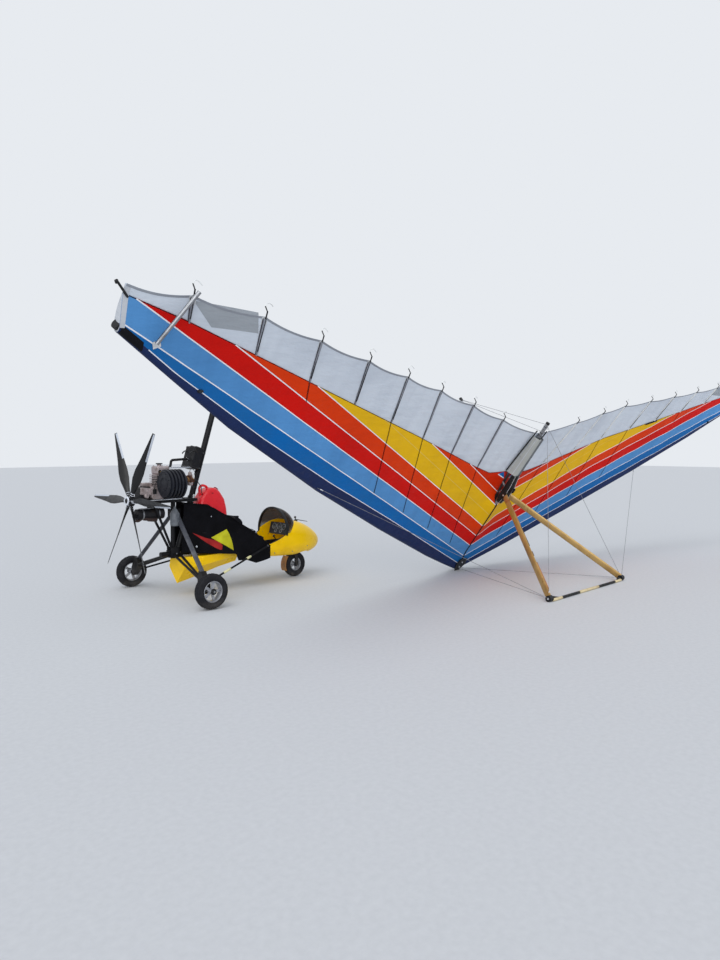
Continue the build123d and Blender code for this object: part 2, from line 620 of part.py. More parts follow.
apex = (0, -APEX_AFT, -34)
bracket_outline = [(-48, -APEX_AFT + 55), (48, -APEX_AFT + 55)]
bracket_outline += [(40, -APEX_AFT - 250), (-40, -APEX_AFT - 250)]
apex_bracket = slab(bracket_outline, Plane.XY.offset(-38), 26)
apex_bracket += Pos(0, -APEX_AFT, -62) * Box(120, DOWNTUBE_CHORD + 12, 44)
bar_line = (-BAR_AFT, -BAR_DROP)
tubes, corners = [], []
corner_drop = WING_Z + BAR_AFT * sin(radians(NOSE_DOWN)) - BAR_DROP * cos(radians(NOSE_DOWN))
for side in (1, -1):
    # each tube stops inside its corner fitting, short of the bar's axis
    end = (side * (BAR_HALF - 10), bar_line[0] - 2, bar_line[1] + 18)
    head_end = (side * 36, -APEX_AFT, -66)
    tubes.append(blade_tube(head_end, end, DOWNTUBE_CHORD, DOWNTUBE_THICKNESS, ahead=(0, 1, 0)))
    inner, outer = (side * (BAR_HALF - 34), *bar_line), (side * (BAR_HALF + 22), *bar_line)
    corners.append(rod(inner, outer, 2 * corner_drop))
tubes = [tube - corners[0] - corners[1] - apex_bracket for tube in tubes]
# the bar bends down inside its corners, so that it rests along the ground
BAR_BEND = 26
half_bar = [(BAR_HALF - 30, 0), (BAR_HALF - 80, 0), (BAR_HALF - 150, BAR_BEND)]
bar_bends = [(-x, -BAR_AFT, -BAR_DROP - drop) for x, drop in half_bar]
bar_bends += [(x, -BAR_AFT, -BAR_DROP - drop) for x, drop in reversed(half_bar)]
bar_path = FilletPolyline(*bar_bends, radius=60)
base_bar = sweep(Plane(origin=bar_path @ 0, z_dir=bar_path % 0) * Circle(14), path=bar_path)
base_bar = base_bar - corners[0] - corners[1] - tubes[0] - tubes[1]
write("downtubes", wing, *tubes)
write("corner_fittings", wing, *corners)
write("base_bar", wing, base_bar)

KINGPOST_FOOT = (0, -APEX_AFT - 70, 19)
wing_solids = [half_body, half_skin]
wing_solids += [mirror(piece, about=Plane.YZ) for piece in wing_solids]
kingpost = rod(KINGPOST_FOOT, KINGPOST_TOP, 28) - keel_bar
for piece in wing_solids:
    kingpost -= piece
write("kingpost", wing, kingpost)
hang_ears = Pos(0, -APEX_AFT - 90, -78) * Box(70, 56, 60) - Pos(0, -APEX_AFT - 90, -88) * Box(40, 60, 60)
hang_ears -= Pos(0, -APEX_AFT - 90, -92) * Rot(0, 90, 0) * Cylinder(5.1, 100)
write("apex_bracket", wing, apex_bracket + hang_ears - keel_bar)

# The keel's cloth pocket widens up to the sail, and its top follows the sail's slope
POCKET_FRONT, POCKET_REAR = -1474, -1990
POCKET_FOOT = -45
pocket_section = [(-46, POCKET_FOOT), (46, POCKET_FOOT), (92, 62), (-92, 62)]
pocket_corners = [(x, POCKET_FRONT, z) for x, z in pocket_section]
pocket_face = fillet(make_face(Polyline(*pocket_corners, close=True)).vertices(), 12)
pocket = extrude(pocket_face, POCKET_FRONT - POCKET_REAR, dir=(0, -1, 0))
pocket_slope = [(0, POCKET_FRONT + 1, 61), (0, POCKET_REAR - 1, 24), (0, POCKET_REAR - 1, 90)]
pocket_slope.append((0, POCKET_FRONT + 1, 90))
pocket -= extrude(make_face(Polyline(*pocket_slope, close=True)), 120, dir=(1, 0, 0), both=True)
pocket -= rod((0, -1400, -2), (0, -2100, -2), 42.4)
write("keel_pocket", wing, pocket)

# Main stays
WIRE = 4
SIDE_STAY = (3057, 1470)
lower, upper = [], []
kingpost_head = Vector(*KINGPOST_TOP) - Vector(0, 0, 20)
for side in (1, -1):
    corner = (side * (BAR_HALF + 4), *bar_line)
    anchors = [(side * 12, -60, -74), (side * 8, -KEEL_LENGTH + 40, -24)]
    anchors.append((side * SIDE_STAY[0], -SIDE_STAY[1], -45))
    for anchor in anchors:
        wire = rod(corner, anchor, WIRE)
        for piece in [*corners, *tubes, nose_plate, keel_bar]:
            wire -= piece
        lower.append(wire)
    upper.append(rod(kingpost_head, (side * SIDE_STAY[0], -SIDE_STAY[1], 60), WIRE))
upper.append(rod(kingpost_head, (0, -40, 26), WIRE))
upper.append(rod(kingpost_head, (0, -KEEL_LENGTH + 30, 22), WIRE))
upper_cut = []
for wire in upper:
    for piece in [kingpost, keel_bar, *wing_solids]:
        wire -= piece
    upper_cut += wire.solids()
for piece in (half_body, mirror(half_body, about=Plane.YZ)):
    lower = [wire - piece for wire in lower]
write("lower_stays", wing, *[solid for wire in lower for solid in wire.solids()])
write("upper_stays", wing, *upper_cut)
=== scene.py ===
import math

import bpy
from mathutils import Matrix, Vector, noise


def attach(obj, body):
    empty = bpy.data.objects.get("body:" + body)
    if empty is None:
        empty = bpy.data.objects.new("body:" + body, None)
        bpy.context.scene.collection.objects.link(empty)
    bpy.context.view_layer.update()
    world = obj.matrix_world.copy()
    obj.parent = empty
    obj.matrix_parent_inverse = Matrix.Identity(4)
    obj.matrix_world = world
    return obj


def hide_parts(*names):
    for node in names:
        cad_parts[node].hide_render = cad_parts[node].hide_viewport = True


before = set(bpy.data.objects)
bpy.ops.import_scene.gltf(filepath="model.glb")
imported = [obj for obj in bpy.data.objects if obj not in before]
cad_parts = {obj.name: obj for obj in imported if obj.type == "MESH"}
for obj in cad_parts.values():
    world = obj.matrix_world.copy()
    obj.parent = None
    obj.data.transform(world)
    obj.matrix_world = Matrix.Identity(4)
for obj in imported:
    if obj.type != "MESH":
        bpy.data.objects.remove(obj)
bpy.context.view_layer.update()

bl_info = {
    "name": "Parked weight-shift microlight",
    "version": (1, 0, 0),
    "blender": (4, 5, 0),
    "location": "3D View > Sidebar > Microlight",
    "description": "Dresses the CAD frame of a microlight that is parked with its wing unhooked",
    "category": "Object",
}

# The camera as it was solved from the photo
CAMERA_PLACE = (-7.10, -5.48, 1.55)
CAMERA_LOOK = Vector((0.709, 0.705, 0.0))
CAMERA_DOWN = math.radians(2.82)
CAMERA_LENS = 27.0

# Where the two halves stand, in metres, as in the part's source
TRIKE_ORIGIN = Vector((-3.350, 1.020, 0.0))
WING_ORIGIN = Vector((0.0, -0.040, 0.030))
NOSE_DOWN = math.radians(53.5)

# Stations across one half of the wing: span, leading edge aft, height of its underside,
# trailing edge aft and its height, the double surface's rear edge aft and its height, crest
STATIONS = (
    (0.000, 0.000, -0.060, 2.030, 0.030, 1.468, 0.070, 0.128),
    (0.362, 0.150, -0.059, 2.092, 0.048, 1.436, 0.089, 0.131),
    (0.772, 0.326, -0.058, 2.165, 0.070, 1.550, 0.100, 0.134),
    (1.887, 0.850, -0.050, 2.400, 0.150, 1.897, 0.138, 0.140),
    (3.014, 1.408, -0.042, 2.635, 0.105, 2.248, 0.104, 0.118),
    (4.166, 2.040, -0.036, 2.875, 0.076, 2.606, 0.080, 0.086),
    (4.741, 2.400, -0.034, 2.945, 0.062, 2.785, 0.060, 0.062),
    (5.180, 2.680, -0.034, 2.955, 0.048, 2.900, 0.046, 0.048),
)
SPAN, LEAD, FOOT, TRAIL, TRAIL_HIGH, EDGE, EDGE_HIGH, CREST = range(8)
TIP = STATIONS[-1][SPAN]
NOSE_DEPTH = 0.036
SKIN = 0.005
SAIL_THICK = 0.0012

# Span and aft of each batten's end, and how far a batten leans out per metre
BATTENS = ((0.030, 2.030), (0.772, 2.165), (1.342, 2.290), (1.887, 2.400), (2.453, 2.517))
BATTENS += ((3.014, 2.635), (3.596, 2.757), (4.166, 2.875), (4.741, 2.945), (5.165, 2.955))
BATTEN_TOE = 0.18
SCALLOP = 0.026

# The first seam bows with the leading edge, as span and aft; the rest are straight
NAVY_SEAM = ((-0.2, 0.008), (1.681, 0.919), (2.925, 1.508), (3.823, 1.958), (4.741, 2.462))
NAVY_SEAM += ((5.190, 2.742), (6.0, 3.280))
SEAM_SLOPE = 0.487
# Aft distance at the keel of each straight seam, front to back
SEAMS = (0.230, 0.395, 0.550, 0.705, 1.025, 1.165)
FAINT_SEAM = 0.872

# The engine's foot above the ground, and its cylinder's place ahead of the axle
ENGINE_BASE = 1.010
CYLINDER = -0.062

# Propeller
THRUST_TILT = math.radians(4.1)
HUB = Vector((-0.380, 0.0, 1.002))
BLADES = 6
FIRST_BLADE = math.radians(-28.7)
TAPE_END = 0.752

# Control frame: the bar's distance aft and height, in the wing's frame
BAR_AFT = 1.072
BAR_HIGH = -1.473
FITTING_HIGH = -1.447

# The ball that the windscreen is cut from: its middle ahead of the axle and above the ground
SCREEN_AHEAD = 1.360
SCREEN_HIGH = 0.572
SCREEN_RADIUS = 0.264


def wing(span, aft, high):
    """A point given in the wing's own frame: to its right, aft of its nose and up."""
    cosine, sine = math.cos(NOSE_DOWN), math.sin(NOSE_DOWN)
    return WING_ORIGIN + Vector((span, -aft * cosine + high * sine, aft * sine + high * cosine))


def wing_way(span, aft, high):
    """A direction given in the wing's own frame."""
    return wing(span, aft, high) - wing(0, 0, 0)


def trike(forward, left, high):
    """A point given from the rear axle: forward, to the left and above the ground."""
    return TRIKE_ORIGIN + Vector((forward, left, high))


def trikes(*points):
    """Several points given from the rear axle."""
    return [trike(*point) for point in points]


def blend_line(table, value, column):
    """A column of a table at any value of its first column, straight between rows."""
    for low, high in zip(table[:-1], table[1:]):
        if value <= high[0] or high is table[-1]:
            part = (value - low[0]) / (high[0] - low[0])
            return low[column] + part * (high[column] - low[column])


def at(span, column):
    """A station column's value at a span."""
    return blend_line(STATIONS, span, column)


def ease(part):
    """A smooth step from 0 to 1."""
    part = min(1.0, max(0.0, part))
    return part * part * (3 - 2 * part)


def arc_height(aft, first, middle, last):
    """The height at aft on the shallow arc through three points of aft and height."""
    (x1, z1), (x2, z2), (x3, z3) = first, middle, last
    slope = ((x1 - x2) * (z1 - z3) - (x1 - x3) * (z1 - z2))
    if abs(slope) < 1e-9:
        return z1 + (z3 - z1) * (aft - x1) / (x3 - x1)
    first_sum = x1 * x1 + z1 * z1
    mid_sum = first_sum - x2 * x2 - z2 * z2
    end_sum = first_sum - x3 * x3 - z3 * z3
    centre_z = ((x1 - x2) * end_sum - (x1 - x3) * mid_sum) / (2 * slope)
    centre_x = (mid_sum * (z1 - z3) - end_sum * (z1 - z2)) / (2 * slope)
    radius = math.hypot(x1 - centre_x, z1 - centre_z)
    lift = math.sqrt(max(0.0, radius * radius - (aft - centre_x) ** 2))
    return centre_z + math.copysign(lift, z2 - centre_z)


def batten_share(span, aft):
    """How far a point lies between its two nearest battens, from 0 to 1."""
    lines = [place - BATTEN_TOE * (end - aft) for place, end in BATTENS]
    for low, high in zip(lines[:-1], lines[1:]):
        if span <= high:
            return min(1.0, max(0.0, (span - low) / (high - low)))
    return 1.0


def trail_at(span):
    """The scalloped trailing edge's distance aft."""
    for (low, aft_low), (high, aft_high) in zip(BATTENS[:-1], BATTENS[1:]):
        if span <= high:
            part = min(1.0, max(0.0, (span - low) / (high - low)))
            return aft_low + part * (aft_high - aft_low) - SCALLOP * 4 * part * (1 - part)
    return BATTENS[-1][1]


def ruffle(span, aft, size):
    """Small uneven creases of the cloth."""
    long_crease = noise.noise(Vector((span * 1.3 + aft * 1.1, aft * 5.5 - span * 2.6, 3.1)))
    short_crease = noise.noise(Vector((span * 7.0, aft * 13.0, 8.4)))
    return size * (long_crease + 0.35 * short_crease)


def over(span, aft):
    """The height of the upper cloth's middle, which is the only cloth behind the rear edge."""
    lead, edge = at(span, LEAD), at(span, EDGE)
    edge_high = at(span, EDGE_HIGH)
    share = batten_share(span, aft)
    puff = 4 * share * (1 - share)
    if aft < edge:
        peak = lead + 0.4 * (edge - lead)
        start = (lead + NOSE_DEPTH, NOSE_DEPTH)
        high = arc_height(aft, start, (peak, at(span, CREST)), (edge, edge_high - SKIN))
        fade = ease((aft - lead - NOSE_DEPTH) / 0.25)
        return high + 0.003 + fade * (0.004 * puff + ruffle(span, aft, 0.0015))
    rear = at(span, TRAIL)
    high = edge_high + (at(span, TRAIL_HIGH) - edge_high) * (aft - edge) / (rear - edge)
    return high - 0.0025 + 0.007 * puff * ease((aft - edge) / 0.2) + ruffle(span, aft, 0.002)


def under(span, aft):
    """The height of the lower cloth, which passes under the keel near the root."""
    lead, edge = at(span, LEAD), at(span, EDGE)
    part = (aft - lead - NOSE_DEPTH) / (edge - lead - NOSE_DEPTH)
    foot = at(span, FOOT)
    high = foot + (at(span, EDGE_HIGH) - SKIN - foot) * min(1.0, max(0.0, part))
    share = batten_share(span, aft)
    inside = ease(part / 0.2) * ease((1 - part) / 0.12)
    high += inside * (0.006 * 4 * share * (1 - share) + ruffle(span, aft, 0.004))
    near = ease((0.24 - span) / 0.24) * ease((1.13 - aft) / 0.12)
    return high + min(0.0, -0.031 - high) * near


def seam_aft(span, at_keel):
    """Aft distance of a straight seam."""
    return at_keel + SEAM_SLOPE * span


def navy_aft(span):
    """Aft distance of the bowed seam behind the navy leading edge."""
    return blend_line(NAVY_SEAM, span, 1)


# Small modelling steps that the pieces share


def deselect():
    """Leaves edit mode and selects nothing."""
    if bpy.context.object and bpy.context.object.mode != "OBJECT":
        bpy.ops.object.mode_set(mode="OBJECT")
    bpy.ops.object.select_all(action="DESELECT")


def facing(direction):
    """The rotation that turns up to a direction."""
    return Vector(direction).to_track_quat("Z", "Y").to_euler()


def in_edit(*steps):
    """Runs edit-mode steps on the whole of the active mesh."""
    bpy.ops.object.mode_set(mode="EDIT")
    bpy.ops.mesh.select_all(action="SELECT")
    for step in steps:
        step()
    bpy.ops.object.mode_set(mode="OBJECT")


def merged():
    """Merges doubles and turns the normals out, as an edit-mode step."""
    bpy.ops.mesh.remove_doubles(threshold=0.00002)
    bpy.ops.mesh.normals_make_consistent(inside=False)


def modified(kind, **values):
    """Adds a modifier to the active object, sets it and applies it."""
    piece = bpy.context.object
    bpy.ops.object.modifier_add(type=kind)
    added = piece.modifiers[-1]
    for key, value in values.items():
        setattr(added, key, value)
    bpy.ops.object.modifier_apply(modifier=added.name)
    return piece


def swelled(cap):
    """Remeshes the active cushion and blows it up with Cloth, no point moving past cap."""
    piece = modified("REMESH", mode="VOXEL", voxel_size=0.006)
    before = [vertex.co.copy() for vertex in piece.data.vertices]
    bpy.ops.object.modifier_add(type="CLOTH")
    cloth = piece.modifiers[-1]
    cloth.settings.use_pressure = True
    cloth.settings.uniform_pressure_force = 4.0
    cloth.settings.effector_weights.gravity = 0.0
    for number in range(1, 21):
        bpy.context.scene.frame_set(number)
    bpy.ops.object.modifier_apply(modifier=cloth.name)
    bpy.context.scene.frame_set(1)
    for vertex, start in zip(piece.data.vertices, before):
        move = vertex.co - start
        if move.length > cap:
            vertex.co = start + move * (cap / move.length)
    return modified("SUBSURF", levels=1, render_levels=1)


def softened(width, segments=2):
    """Rounds the active object's sharp edges."""
    return modified("BEVEL", width=width, segments=segments, angle_limit=math.radians(38))


def bar(start, end, radius, end_radius=None, sides=20, soft=0.0):
    """A round bar or cone between two points, its ends rounded by soft."""
    deselect()
    start, end = Vector(start), Vector(end)
    run = end - start
    far = radius if end_radius is None else end_radius
    bpy.ops.mesh.primitive_cone_add(
        vertices=sides, radius1=radius, radius2=far, depth=run.length,
        location=(start + end) / 2, rotation=facing(run),
    )
    return softened(soft) if soft else bpy.context.object


def oval_bar(start, end, wide, thick, ahead, soft=0.0005):
    """A bar of oval section whose wide way points ahead."""
    deselect()
    run = end - start
    along = run.normalized()
    forward = (ahead - along * along.dot(ahead)).normalized()
    turn = Matrix((forward, along.cross(forward), along)).transposed().to_euler()
    bpy.ops.mesh.primitive_cylinder_add(
        vertices=44, radius=1, depth=1, location=(start + end) / 2, rotation=turn,
        scale=(wide / 2, thick / 2, run.length),
    )
    bpy.ops.object.transform_apply(location=False, rotation=False, scale=True)
    return softened(soft)


def block(centre, size, turn=(0, 0, 0), soft=0.003, segments=2):
    """A box with rounded edges."""
    deselect()
    bpy.ops.mesh.primitive_cube_add(size=1, location=centre, rotation=turn, scale=size)
    bpy.ops.object.transform_apply(location=False, rotation=False, scale=True)
    return softened(soft, segments)


def ball(centre, radius, scale=(1, 1, 1)):
    """A ball, or an egg when it is scaled."""
    deselect()
    bpy.ops.mesh.primitive_uv_sphere_add(
        segments=20, ring_count=12, radius=radius, location=centre, scale=scale,
    )
    return bpy.context.object


def ring(centre, axis, radius, thick, sides=32, cross=10):
    """A torus about an axis."""
    deselect()
    bpy.ops.mesh.primitive_torus_add(
        location=centre, rotation=facing(axis), major_radius=radius, minor_radius=thick,
        major_segments=sides, minor_segments=cross,
    )
    return bpy.context.object


def spun(profile, centre, axis, steps=48):
    """A body turned from a closed profile of radius and distance along the axis."""
    deselect()
    bpy.ops.mesh.primitive_circle_add(vertices=len(profile), radius=1)
    piece = bpy.context.object
    for vertex, (radius, along) in zip(piece.data.vertices, profile):
        vertex.co = (radius, 0, along)
    in_edit(
        lambda: bpy.ops.mesh.spin(steps=steps, angle=2 * math.pi, center=(0, 0, 0), axis=(0, 0, 1)),
        lambda: bpy.ops.mesh.select_all(action="SELECT"),
        merged,
    )
    piece.location = centre
    piece.rotation_euler = facing(axis)
    return piece


def grid(across, along, place):
    """A sheet of quads whose points a function of two shares from 0 to 1 places."""
    deselect()
    bpy.ops.mesh.primitive_grid_add(x_subdivisions=across, y_subdivisions=along, size=2)
    piece = bpy.context.object
    for vertex in piece.data.vertices:
        vertex.co = place((vertex.co.x + 1) / 2, (vertex.co.y + 1) / 2)
    return piece


def thickened(thick):
    """Merges the active sheet's doubles and gives it a wall, half on each side."""
    in_edit(merged)
    return modified("SOLIDIFY", thickness=thick, offset=0.0)


def sheet(across, along, place, thick):
    """A wall of even thickness whose points a function of two shares places."""
    grid(across, along, place)
    return thickened(thick)


def pipe(points, radius, sides=4):
    """A bent tube along a smooth line that the points pull."""
    deselect()
    line = bpy.data.curves.new("pipe", "CURVE")
    line.dimensions = "3D"
    spline = line.splines.new("NURBS")
    spline.points.add(len(points) - 1)
    for point, place in zip(spline.points, points):
        point.co = (*place, 1)
    spline.order_u = 3
    spline.use_endpoint_u = True
    spline.resolution_u = 6
    line.bevel_depth = radius
    line.bevel_resolution = sides
    line.use_fill_caps = True
    piece = bpy.data.objects.new("pipe", line)
    bpy.context.collection.objects.link(piece)
    bpy.context.view_layer.objects.active = piece
    piece.select_set(True)
    return piece


def tube(points, radius, sides=4):
    """A bent tube as a mesh."""
    pipe(points, radius, sides)
    bpy.ops.object.convert(target="MESH")
    return bpy.context.object


def bolt(centre, axis, size):
    """A washer with a hexagon head, or a nut with its thread's end."""
    centre, axis = Vector(centre), Vector(axis).normalized()
    washer = bar(centre, centre + axis * size * 0.18, size * 1.15, soft=size * 0.04)
    head = bar(centre, centre + axis * size * 0.75, size * 0.9, sides=6, soft=size * 0.08)
    thread = bar(centre, centre + axis * size * 1.15, size * 0.45, sides=12, soft=size * 0.06)
    return [washer, head, thread]


def clip(centre, axis, radius, width=0.010):
    """A hose or cable clip round a tube, with its screw."""
    centre, axis = Vector(centre), Vector(axis).normalized()
    outer, high = radius + 0.0012, width / 2
    band = spun([(radius, -high), (outer, -high), (outer, high), (radius, high)], centre, axis, 28)
    side = axis.orthogonal().normalized()
    seat, half = centre + side * (radius + 0.003), side.cross(axis) * 0.008
    return [band, bar(seat - half, seat + half, 0.004, sides=8, soft=0.0006)]


def piece_of(name, parts, finish, smooth=35, body="root"):
    """Joins parts into one finished piece, its place in its mesh, and lets it ride on a body."""
    deselect()
    for part in parts:
        part.select_set(True)
    bpy.context.view_layer.objects.active = parts[0]
    if len(parts) > 1:
        bpy.ops.object.join()
    piece = bpy.context.object
    piece.name = piece.data.name = name
    bpy.ops.object.transform_apply(location=True, rotation=True, scale=True)
    bpy.ops.object.shade_smooth_by_angle(angle=math.radians(smooth))
    if isinstance(finish, str):
        piece.data.materials.clear()
        piece.data.materials.append(FINISHES[finish])
    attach(piece, body)
    return piece


# Finishes. Each takes its place from the object's own coordinates, which are in metres.


def colour_of(red, green, blue):
    """A colour as a screen shows it, from 0 to 255, made linear."""
    shares = []
    for value in (red, green, blue):
        value /= 255
        shares.append(value / 12.92 if value <= 0.04045 else ((value + 0.055) / 1.055) ** 2.4)
    return (*shares, 1.0)


class Nodes:
    """Builds one material's nodes."""

    def __init__(self, name, turn=(0, 0, 0), stretch=(1, 1, 1)):
        self.material = bpy.data.materials.new(name)
        self.material.use_nodes = True
        self.tree = self.material.node_tree
        self.shader = self.tree.nodes["Principled BSDF"]
        place = self.tree.nodes.new("ShaderNodeTexCoord")
        self.mapping = self.add("ShaderNodeMapping", Vector=place.outputs["Object"])
        self.mapping.inputs["Rotation"].default_value = turn
        self.mapping.inputs["Scale"].default_value = stretch
        self.place = self.mapping.outputs["Vector"]

    def add(self, kind, settings=None, **inputs):
        """Adds a node, its inputs set or linked."""
        node = self.tree.nodes.new(kind)
        for key, value in (settings or {}).items():
            setattr(node, key, value)
        for key, value in inputs.items():
            self.feed(node.inputs[key.replace("_", " ")], value)
        return node

    def feed(self, socket, value):
        """Links an input to another node's output, or sets it."""
        if isinstance(value, bpy.types.NodeSocket):
            self.tree.links.new(value, socket)
        else:
            socket.default_value = value

    def noise(self, scale, detail=4.0, rough=0.55, place=None):
        made = self.add("ShaderNodeTexNoise", Vector=place or self.place, Scale=scale,
                        Detail=detail, Roughness=rough)
        return made.outputs["Fac"]

    def moved(self, stretch, turn):
        """The place, stretched and turned about the cloth's normal."""
        made = self.add("ShaderNodeMapping", Vector=self.place, Scale=stretch, Rotation=(0, 0, turn))
        return made.outputs["Vector"]

    def height(self):
        """The height above the ground."""
        return self.add("ShaderNodeSeparateXYZ", Vector=self.place).outputs["Z"]

    def weave(self, second, scale):
        """Threads along X and along a second axis."""
        waves = [self.add("ShaderNodeTexWave", {"bands_direction": axis}, Vector=self.place, Scale=scale)
                 for axis in ("X", second)]
        return self.times(waves[0].outputs["Fac"], waves[1].outputs["Fac"], "ADD")

    def spread(self, value, low, high, to_low=0.0, to_high=1.0):
        """Maps low to high onto another range, and no further."""
        made = self.add("ShaderNodeMapRange", Value=value, From_Min=low, From_Max=high,
                        To_Min=to_low, To_Max=to_high)
        return made.outputs["Result"]

    def mixed(self, share, first, second):
        """Goes from the first colour to the second."""
        node = self.tree.nodes.new("ShaderNodeMix")
        node.data_type = "RGBA"
        for index, value in ((0, share), (6, first), (7, second)):
            self.feed(node.inputs[index], value)
        return node.outputs[2]

    def times(self, first, second, operation="MULTIPLY"):
        """The product of two values, or what another operation makes of them."""
        node = self.tree.nodes.new("ShaderNodeMath")
        node.operation = operation
        for index, value in enumerate((first, second)):
            self.feed(node.inputs[index], value)
        return node.outputs[0]

    def bumped(self, height, strength, distance, base=None):
        """A normal that a height bends, on top of another."""
        node = self.add("ShaderNodeBump", Height=height, Strength=strength, Distance=distance)
        if base:
            self.tree.links.new(base, node.inputs["Normal"])
        return node.outputs["Normal"]

    def set(self, **inputs):
        """Sets or links the shader's inputs and gives the material."""
        for key, value in inputs.items():
            self.feed(self.shader.inputs[key.replace("_", " ")], value)
        return self.material


def plain(name, colour, worn, rough, metal=0.0, patch=9.0, cover=(0.52, 0.72), grain=0.15,
          grain_size=260.0, spread=0.12, coat=0.0, stretch=(1, 1, 1), dust=None, shine=0.35):
    """A finish with worn patches, uneven gloss, fine grain and, low down, road dust."""
    nodes = Nodes(name, stretch=stretch)
    shown = nodes.mixed(nodes.spread(nodes.noise(patch, 7.0, 0.62), *cover), colour, worn)
    if dust:
        low = nodes.spread(nodes.height(), 0.0, dust, 0.35, 0.0)
        dusty = nodes.times(low, nodes.spread(nodes.noise(26.0), 0.3, 0.7))
        shown = nodes.mixed(dusty, shown, colour_of(126, 120, 112))
    gloss = nodes.noise(patch * 2.7, 5.0)
    return nodes.set(
        Base_Color=shown, Roughness=nodes.spread(gloss, 0.3, 0.7, max(0.03, rough - spread), rough + spread),
        Metallic=metal, Normal=nodes.bumped(nodes.noise(grain_size, 3.0), grain, 0.0006),
        Coat_Weight=coat, Coat_Roughness=0.12, Specular_IOR_Level=shine,
    )


def sailcloth(name, colour, shade, cover=1.0):
    """Woven polyester, taut, with soft creases, faint stains and its weave."""
    nodes = Nodes(name, turn=(NOSE_DOWN, 0, 0))
    broad = nodes.spread(nodes.noise(0.9, 3.0), 0.32, 0.68)
    shown = nodes.mixed(nodes.times(broad, 0.55), colour, shade)
    streak = nodes.noise(1.6, 5.0, 0.6, nodes.moved((5.0, 0.7, 1.0), 0.25))
    shown = nodes.mixed(nodes.spread(streak, 0.42, 0.72, 0.0, 0.30), shown, shade)
    stain = nodes.spread(nodes.noise(5.0, 8.0, 0.7), 0.64, 0.82, 0.0, 0.10)
    shown = nodes.mixed(stain, shown, colour_of(110, 104, 96))
    crease = nodes.noise(1.4, 4.0, 0.5, nodes.moved((2.2, 7.0, 1.0), 0.5))
    return nodes.set(
        Base_Color=shown, Roughness=nodes.spread(broad, 0.0, 1.0, 0.46, 0.60),
        Normal=nodes.bumped(nodes.weave("Y", 85.0), 0.12, 0.0004, nodes.bumped(crease, 0.5, 0.03)),
        Specular_IOR_Level=0.08, Alpha=cover,
    )


def woven(name, colour, shade, thread):
    """Coarser cloth for panels, covers and cushions."""
    nodes = Nodes(name)
    broad = nodes.spread(nodes.noise(7.0, 6.0, 0.6), 0.38, 0.66)
    crease = nodes.bumped(nodes.noise(11.0, 5.0, 0.5), 0.35, 0.02)
    return nodes.set(
        Base_Color=nodes.mixed(broad, colour, shade), Specular_IOR_Level=0.06,
        Roughness=nodes.spread(broad, 0.0, 1.0, 0.75, 0.85),
        Normal=nodes.bumped(nodes.weave("Z", thread), 0.35, 0.0006, crease),
    )


def clear_screen(name):
    """Clear plastic with a brown tint that deepens upwards, scuffed."""
    nodes = Nodes(name)
    depth = nodes.spread(nodes.height(), 0.56, 0.66)
    return nodes.set(
        Base_Color=nodes.mixed(depth, colour_of(150, 140, 126), colour_of(62, 48, 38)),
        Roughness=nodes.spread(nodes.noise(40.0, 6.0, 0.7), 0.5, 0.8, 0.03, 0.16),
        Transmission_Weight=0.6, IOR=1.12, Alpha=nodes.spread(depth, 0.0, 1.0, 0.6, 0.9),
        Normal=nodes.bumped(nodes.noise(6.0), 0.05, 0.004),
    )


def gridded(name, colour, shade):
    """Cloth with a reinforcing grid of threads."""
    nodes = Nodes(name, turn=(NOSE_DOWN, 0, 0))
    broad = nodes.spread(nodes.noise(6.0, 5.0, 0.6), 0.36, 0.66)
    lines = nodes.add("ShaderNodeTexBrick", {"offset": 0.0}, Vector=nodes.place, Scale=1.0,
                      Mortar_Size=0.0016, Brick_Width=0.016, Row_Height=0.016, Mortar_Smooth=0.6)
    lines = lines.outputs["Fac"]
    shown = nodes.mixed(nodes.times(lines, 0.45), nodes.mixed(broad, colour, shade), colour_of(74, 76, 80))
    return nodes.set(
        Base_Color=shown, Roughness=nodes.spread(broad, 0.0, 1.0, 0.6, 0.75), Specular_IOR_Level=0.2,
        Normal=nodes.bumped(lines, 0.3, 0.0006, nodes.bumped(nodes.noise(9.0), 0.4, 0.01)),
    )


FINISHES = {}

# The shade that each coloured cloth fades to; its own colour is a property
CLOTH_SHADES = {
    "navy": (36, 52, 94), "blue": (38, 96, 146), "sky": (66, 116, 166), "red": (178, 16, 10),
    "orange": (196, 46, 8), "yellow": (206, 158, 28), "scarlet": (160, 38, 14), "white": (178, 186, 198),
}
# The sail's other cloths: material, colour, shade and how much it covers
SAIL_CLOTHS = {
    "tip_grey": ("sail_tip_grey", (196, 200, 206), (160, 164, 170), 1.0),
    "faint": ("sail_faint_seam", (224, 192, 92), (206, 172, 66), 1.0),
    # a see-through grey band that is painted shade where doubled cloth shows through the sail
    "band_grey": ("sail_band_grey", (176, 182, 188), (156, 162, 170), 0.8),
    "piping": ("sail_piping", (236, 236, 240), (210, 210, 216), 1.0),
    "pocket": ("sail_pocket", (150, 154, 162), (122, 126, 134), 1.0),
    # a painted shadow line beside the near half's batten pockets
    "pocket_line": ("sail_pocket_line", (72, 68, 76), (58, 56, 64), 1.0),
    # dark translucent strips: painted shadows of the battens seen through the lower cloth
    "thread": ("sail_painted_batten_shadow", (40, 22, 26), (26, 18, 24), 0.36),
    # a dark translucent line that is painted shade along the double surface's rear edge
    "edge_line": ("sail_edge_line", (46, 36, 38), (30, 26, 30), 0.5),
    "gap": ("sail_gap", (20, 20, 24), (12, 12, 15), 1.0),
    "patch": ("sail_patch", (216, 218, 218), (186, 188, 190), 1.0),
    # the keel pocket's left face, made paler as painted light
    "keel_cloth_painted_light": ("keel_cloth_painted_light", (178, 180, 176), (150, 152, 150), 1.0),
}
